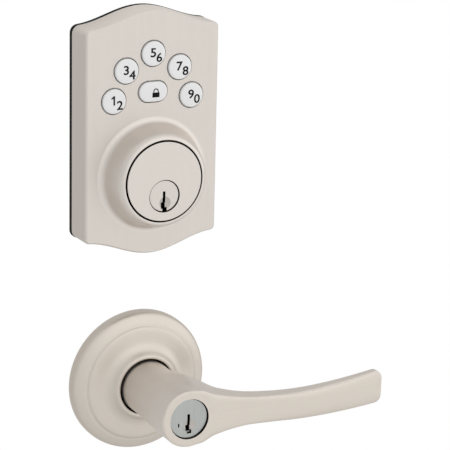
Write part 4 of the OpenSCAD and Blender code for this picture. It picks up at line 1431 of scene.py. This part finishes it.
class LOCK_OT_screws(bpy.types.Operator):
    """Through screws, cover screws and the lever's screws"""

    bl_idname = "lock.screws"
    bl_label = "Screws"

    def execute(self, context):
        tree = screw_tree()
        # CAD node, new piece, head radius, head height, shank radius
        kinds = [
            ("chassis_screws", "keypad_cover_screws", 2.6, 1.6, 1.3),
            ("through_screws", "deadbolt_through_screws", 4.0, 2.2, 2.0),
            ("lever_screws", "lever_through_screws", 3.8, 2.0, 2.0),
            ("cover_screws", "inside_cover_screws", 2.8, 1.2, 1.2)
        ]
        for node_name, name, head_r, head_h, shank_r in kinds:
            low, high = (Vector(p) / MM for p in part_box(node_name))
            xs = (low.x + head_r, high.x - head_r)
            zs = sorted({round(low.z + head_r, 3), round(high.z - head_r, 3)})
            seat = high.y - head_h
            piece = grown(
                name, tree, dots([(x, seat, z) for x in xs for z in zs]), FINISH["bright_steel"],
                head_radius=head_r * MM, head_height=head_h * MM, shank_radius=shank_r * MM,
                shank_length=(seat - low.y) * MM, turn=-math.pi / 2
            )
            stands_for(piece, ROOT, "steel", node_name)
        return {"FINISHED"}


class LOCK_OT_springs(bpy.types.Operator):
    """Pin springs, latch spring, lever springs and the cells' contact springs"""

    bl_idname = "lock.springs"
    bl_label = "Springs"

    def execute(self, context):
        tree = coil_tree()
        pins = [(0, y, 12.3) for y in (-25, -21, -17, -13, -9)]
        self.coils(tree, "tumbler_springs", "pin_springs", pins, 1.15, 0.2, 7.4, 9)

        low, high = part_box("latch_spring")
        length = high.x - low.x
        place = [(high.x / MM - 0.3, MID, LEVER_Z - 5.2)]
        sizes = (1.85, 0.3, length / MM - 0.6, 15)
        piece = self.coils(
            tree, "latch_return_spring", "latch_spring", place, *sizes, roll=-math.pi / 2
        )
        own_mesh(piece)

        sizes = (14.0, 0.65, 3.6, 2.9, math.pi / 2)
        for name, node_name, y in (
            ("outside_torsion_spring", "exterior_return_spring", -3.1),
            ("inside_torsion_spring", "interior_return_spring", DOOR + 6.7)
        ):
            self.coils(tree, name, node_name, [(0, y, LEVER_Z)], *sizes)

        low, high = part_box("battery_contacts")
        y = (low.y + high.y) / 2 / MM
        ends = [(x, y, 48.6) for x in CELL_XS]
        self.coils(tree, "contact_coils", "battery_contacts", ends, 2.6, 0.3, 1.1, 2.5)
        plates = [
            rounded_box((x - 5, y - 5, z), (x + 5, y + 5, z + 0.55), 0.15) for x in CELL_XS
            for z in (48, high.z / MM - 0.55)
        ]
        strips = built("contact_strips", joined(*plates), FINISH["bright_steel"])
        stands_for(strips, ROOT, "steel", "battery_contacts")
        return {"FINISHED"}

    def coils(self, tree, name, node_name, places, radius, wire, height, coils, turn=0, roll=0):
        """Coil springs at places, with sizes in millimetres."""
        sizes = {"radius": radius * MM, "wire": wire * MM, "height": height * MM, "coils": coils}
        steel = FINISH["bright_steel"]
        piece = grown(name, tree, dots(places), steel, turn=turn, roll=roll, **sizes)
        return stands_for(piece, ROOT, "steel", node_name)


class LOCK_OT_gears(bpy.types.Operator):
    """The thumbturn's gear and the motor's gear"""

    bl_idname = "lock.gears"
    bl_label = "Gears"

    def execute(self, context):
        module = 0.8
        y0, y1 = edge("drive_gear", 1, 0), edge("drive_gear", 1, 1)
        tree = gear_tree()
        hub0, hub1 = edge("turn_gear", 1, 0), edge("turn_gear", 1, 1)
        for node_name, name, body, slot, teeth, finish, phase, hole in (
            ("turn_gear", "thumbturn_gear", "thumbturn_shaft", "key_white", 45, "gear", 6, 0),
            ("drive_gear", "pinion", "motor_gear", "brass", 18, "brass", 10, 1.55)
        ):
            pitch = module * teeth / 2
            root, tip = pitch - 1.2 * module, pitch + 0.8 * module
            web = root - 2.6
            if hole:
                profile = [(hole, y0), (root, y0), (root, y1), (hole, y1)]
            else:
                profile = [
                    (0, hub0), (7, hub0), (7, y0 + 0.7), (web, y0 + 0.7), (web + 0.5, y0), (root, y0),
                    (root, y1), (web + 0.5, y1), (web, y1 - 0.7), (7, y1 - 0.7), (7, hub1), (0, hub1)
                ]
            centred = [(r, y - (y0 + y1) / 2) for r, y in profile]
            base = turned_mesh(centred, around=teeth * 2)
            gear = grown(
                name, tree, base, FINISH[finish], teeth=teeth, root_radius=root * MM,
                tip_radius=tip * MM, width=(y1 - y0) * MM, start_angle=-math.radians(phase)
            )
            place = Matrix.Translation((0, (y0 + y1) / 2 * MM, middle(node_name)[1] * MM))
            gear.data.transform(place)
            stands_for(gear, body, slot, node_name)
        return {"FINISHED"}


class LOCK_OT_cable(bpy.types.Operator):
    """Ribbed flat cable between the two circuit boards"""

    bl_idname = "lock.cable"
    bl_label = "Flat cable"

    def execute(self, context):
        low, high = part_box("keypad_cable")
        x0, z0, z1 = low.x / MM, low.z / MM, high.z / MM
        y0 = low.y / MM
        thick, wires = 0.45, 8
        pitch = (high.x - low.x) / MM / wires
        section = []
        for i in range(wires):
            for k in range(6):
                angle = math.pi * k / 6
                section.append(
                    (
                        x0 + pitch * (i + 0.5 - 0.5 * math.cos(angle)),
                        thick * (0.45 + 0.55 * math.sin(angle))
                    )
                )
        section = [*section, *[(x, -t) for x, t in reversed(section)]]
        inner = edge("interior_circuit_board", 1, 0)
        outer, low_z, bend = y0 + 0.45, z0 + 0.5, 1.7
        turn = DOOR + BOARD_THICK + 1.35

        def ways(start, step):
            angles = [math.radians(a) for a in range(start, 91, step)]
            return [(1 - math.cos(a), math.sin(a)) for a in angles]

        route = [
            (outer, z1 - 0.5), (outer, low_z + bend),
            *[(outer + bend * c, low_z + bend - bend * s) for c, s in ways(15, 15)],
            *[(turn - bend + bend * s, low_z + bend * c) for c, s in ways(0, 15)], (turn, 37.9),
            *[(turn + 1.2 * c, 37.9 + 1.2 * s) for c, s in ways(30, 30)], (inner, 39.1)
        ]
        rings = []
        for i, (y, z) in enumerate(route):
            before, after = route[max(i - 1, 0)], route[min(i + 1, len(route) - 1)]
            along = Vector((after[0] - before[0], after[1] - before[1])).normalized()
            rings.append([(x, y - along.y * t, z + along.x * t) for x, t in section])
        cable = built("ribbed_cable", stacked_mesh(rings), FINISH["black"], 50)
        stands_for(cable, ROOT, "black_plastic", "keypad_cable")
        return {"FINISHED"}


# Stage

# Under the tip of a lever that is turned down
FLOOR_Z = -212


class LOCK_OT_stage(bpy.types.Operator):
    """Camera, pale panel in the door's place, pale floor and soft light"""

    bl_idname = "lock.stage"
    bl_label = "Stage"

    def execute(self, context):
        settings = context.scene.lock_stage
        scene = context.scene
        scene.view_settings.view_transform = "Standard"
        yaw, pitch, roll = settings.camera_turn
        ahead = Vector(
            (math.sin(yaw) * math.cos(pitch), math.cos(yaw) * math.cos(pitch), -math.sin(pitch))
        )
        right = Vector((math.cos(yaw), -math.sin(yaw), 0))
        up = right.cross(ahead)
        turned_right = right * math.cos(roll) + up * math.sin(roll)
        turned_up = up * math.cos(roll) - right * math.sin(roll)
        data = bpy.data.cameras.new("camera")
        data.lens, data.sensor_width = settings.lens, 36
        data.clip_start, data.clip_end = 0.01, 20
        camera = bpy.data.objects.new("camera", data)
        turn = Matrix((turned_right, turned_up, -ahead)).transposed().to_4x4()
        camera.matrix_world = Matrix.Translation(settings.camera_place) @ turn
        scene.collection.objects.link(camera)
        scene.camera = camera
        self.panel()
        self.floor()
        self.lights(scene, settings)
        return {"FINISHED"}

    def glow(self, name, low, high):
        """White that looks evenly lit, and gives a dimmer light to what stands near it."""
        made = bpy.data.materials.new(name)
        made.use_nodes = True
        tree = made.node_tree
        tree.nodes.clear()
        path = node(tree, "ShaderNodeLightPath")
        up = node(tree, "ShaderNodeSeparateXYZ", {0: mapped(tree)}).outputs[2]
        given = ranged(tree, up, 0.075, 0.1, low, high)
        near = first(tree, "ShaderNodeEmission", {"Color": (1, 0.985, 0.97, 1), "Strength": given})
        seen = first(tree, "ShaderNodeEmission", {"Color": (1, 1, 1, 1), "Strength": 1})
        both = {0: path.outputs["Is Camera Ray"], 1: near, 2: seen}
        both = first(tree, "ShaderNodeMixShader", both)
        node(tree, "ShaderNodeOutputMaterial", {"Surface": both})
        return made

    def panel(self):
        """Thin panel where the door's outer face is, with two bores."""
        left, right, bottom, top = -74, 200, FLOOR_Z, 118
        panel = built(
            "panel", rounded_box((left, 0.5, bottom), (right, 1.5, top), 0.05),
            self.glow("panel_white", 0.65, 0.98)
        )
        cut(panel, *[bore(27, -2, 4, z=z) for z in (0, LEVER_Z)])

    def floor(self):
        """Wide pale floor under the panel. It glows with painted light, stronger to the right and
        further in front of the panel.
        """
        floor = built(
            "floor", rounded_box((-2500, -2500, FLOOR_Z - 5), (2500, 2500, FLOOR_Z), 0.5),
            moulded("floor_white", (0.72, 0.72, 0.72), 0.6, 0.05, 300, tint=0.01)
        )
        tree = floor.data.materials[0].node_tree
        shader = tree.nodes["Principled BSDF"]
        shader.inputs["Emission Color"].default_value = (1, 1, 1, 1)
        # Painted light: the floor glows more to the right and further in front of the panel.
        place = node(tree, "ShaderNodeSeparateXYZ", {0: mapped(tree)})
        smooth = {"interpolation_type": "SMOOTHSTEP"}
        across = ranged(tree, place.outputs[0], -0.14, 0.08, 0.14, 0.29, **smooth)
        away = ranged(tree, place.outputs[1], -0.03, -0.2, 0.55, 1, **smooth)
        strength = worked(tree, "MULTIPLY", across, away)
        tree.links.new(strength, shader.inputs["Emission Strength"])

    def lights(self, scene, settings):
        """Soft light from all round, brighter from the front, the right and above."""
        world = bpy.data.worlds.new("surround")
        world.use_nodes = True
        tree = world.node_tree
        tree.nodes.clear()
        way = node(tree, "ShaderNodeTexCoord").outputs["Generated"]
        split = node(tree, "ShaderNodeSeparateXYZ", {0: way})
        level = worked(tree, "MULTIPLY_ADD", split.outputs[0], 0.16, settings.surround - 0.1)
        level = worked(tree, "MULTIPLY_ADD", split.outputs[1], -0.12, level)
        level = worked(tree, "MULTIPLY_ADD", split.outputs[2], 0.06, level)
        path = node(tree, "ShaderNodeLightPath")
        strength = {0: path.outputs["Is Camera Ray"], 2: level, 3: 1.0}
        strength = first(tree, "ShaderNodeMix", strength, data_type="FLOAT")
        back = first(tree, "ShaderNodeBackground", {"Color": (1, 1, 1, 1), "Strength": strength})
        node(tree, "ShaderNodeOutputWorld", {"Surface": back})
        scene.world = world
        for name, place, size, power in (
            ("front_light", (0.25, -1.3, 0.7), 1.4, 0.9), ("right_light", (1.2, -0.5, 0.1), 1.2, 0.6),
            ("back_light", (-0.5, 1.3, 0.6), 1.2, 2.0)
        ):
            data = bpy.data.lights.new(name, "AREA")
            data.shape, data.size, data.energy = "DISK", size, power
            light = bpy.data.objects.new(name, data)
            light.location = place
            light.rotation_mode = "QUATERNION"
            light.rotation_quaternion = (-Vector(place)).to_track_quat("-Z", "Y")
            scene.collection.objects.link(light)


OPERATORS = [
    LOCK_OT_stage, LOCK_OT_keypad_cover, LOCK_OT_collar, LOCK_OT_keys, LOCK_OT_cylinders, LOCK_OT_roses,
    LOCK_OT_levers, LOCK_OT_door_parts, LOCK_OT_inside_unit, LOCK_OT_screws, LOCK_OT_springs,
    LOCK_OT_gears, LOCK_OT_cable
]
SETTINGS = {
    "lock_finish": LockFinishSettings, "lock_keys": LockKeySettings, "lock_lever": LockLeverSettings,
    "lock_stage": LockStageSettings
}


class LOCK_PT_panel(bpy.types.Panel):
    """Lists the lock set's settings and its pieces"""

    bl_idname = "LOCK_PT_panel"
    bl_label = "Keypad lock set"
    bl_space_type = "VIEW_3D"
    bl_region_type = "UI"
    bl_category = "Lock"

    def draw(self, context):
        for name, group in SETTINGS.items():
            box = self.layout.box()
            settings = getattr(context.scene, name)
            for key in group.__annotations__:
                box.prop(settings, key)
        for operator in OPERATORS:
            self.layout.operator(operator.bl_idname)


def register():
    for group in SETTINGS.values():
        bpy.utils.register_class(group)
    for operator in OPERATORS:
        bpy.utils.register_class(operator)
    bpy.utils.register_class(LOCK_PT_panel)
    for name, group in SETTINGS.items():
        setattr(bpy.types.Scene, name, bpy.props.PointerProperty(type=group))


def unregister():
    for name in SETTINGS:
        delattr(bpy.types.Scene, name)
    bpy.utils.unregister_class(LOCK_PT_panel)
    for operator in reversed(OPERATORS):
        bpy.utils.unregister_class(operator)
    for group in SETTINGS.values():
        bpy.utils.unregister_class(group)


def main():
    register()
    make_finishes(bpy.context.scene.lock_finish)
    for operator in OPERATORS:
        group, name = operator.bl_idname.split(".")
        getattr(getattr(bpy.ops, group), name)()


if __name__ == "__main__":
    main()
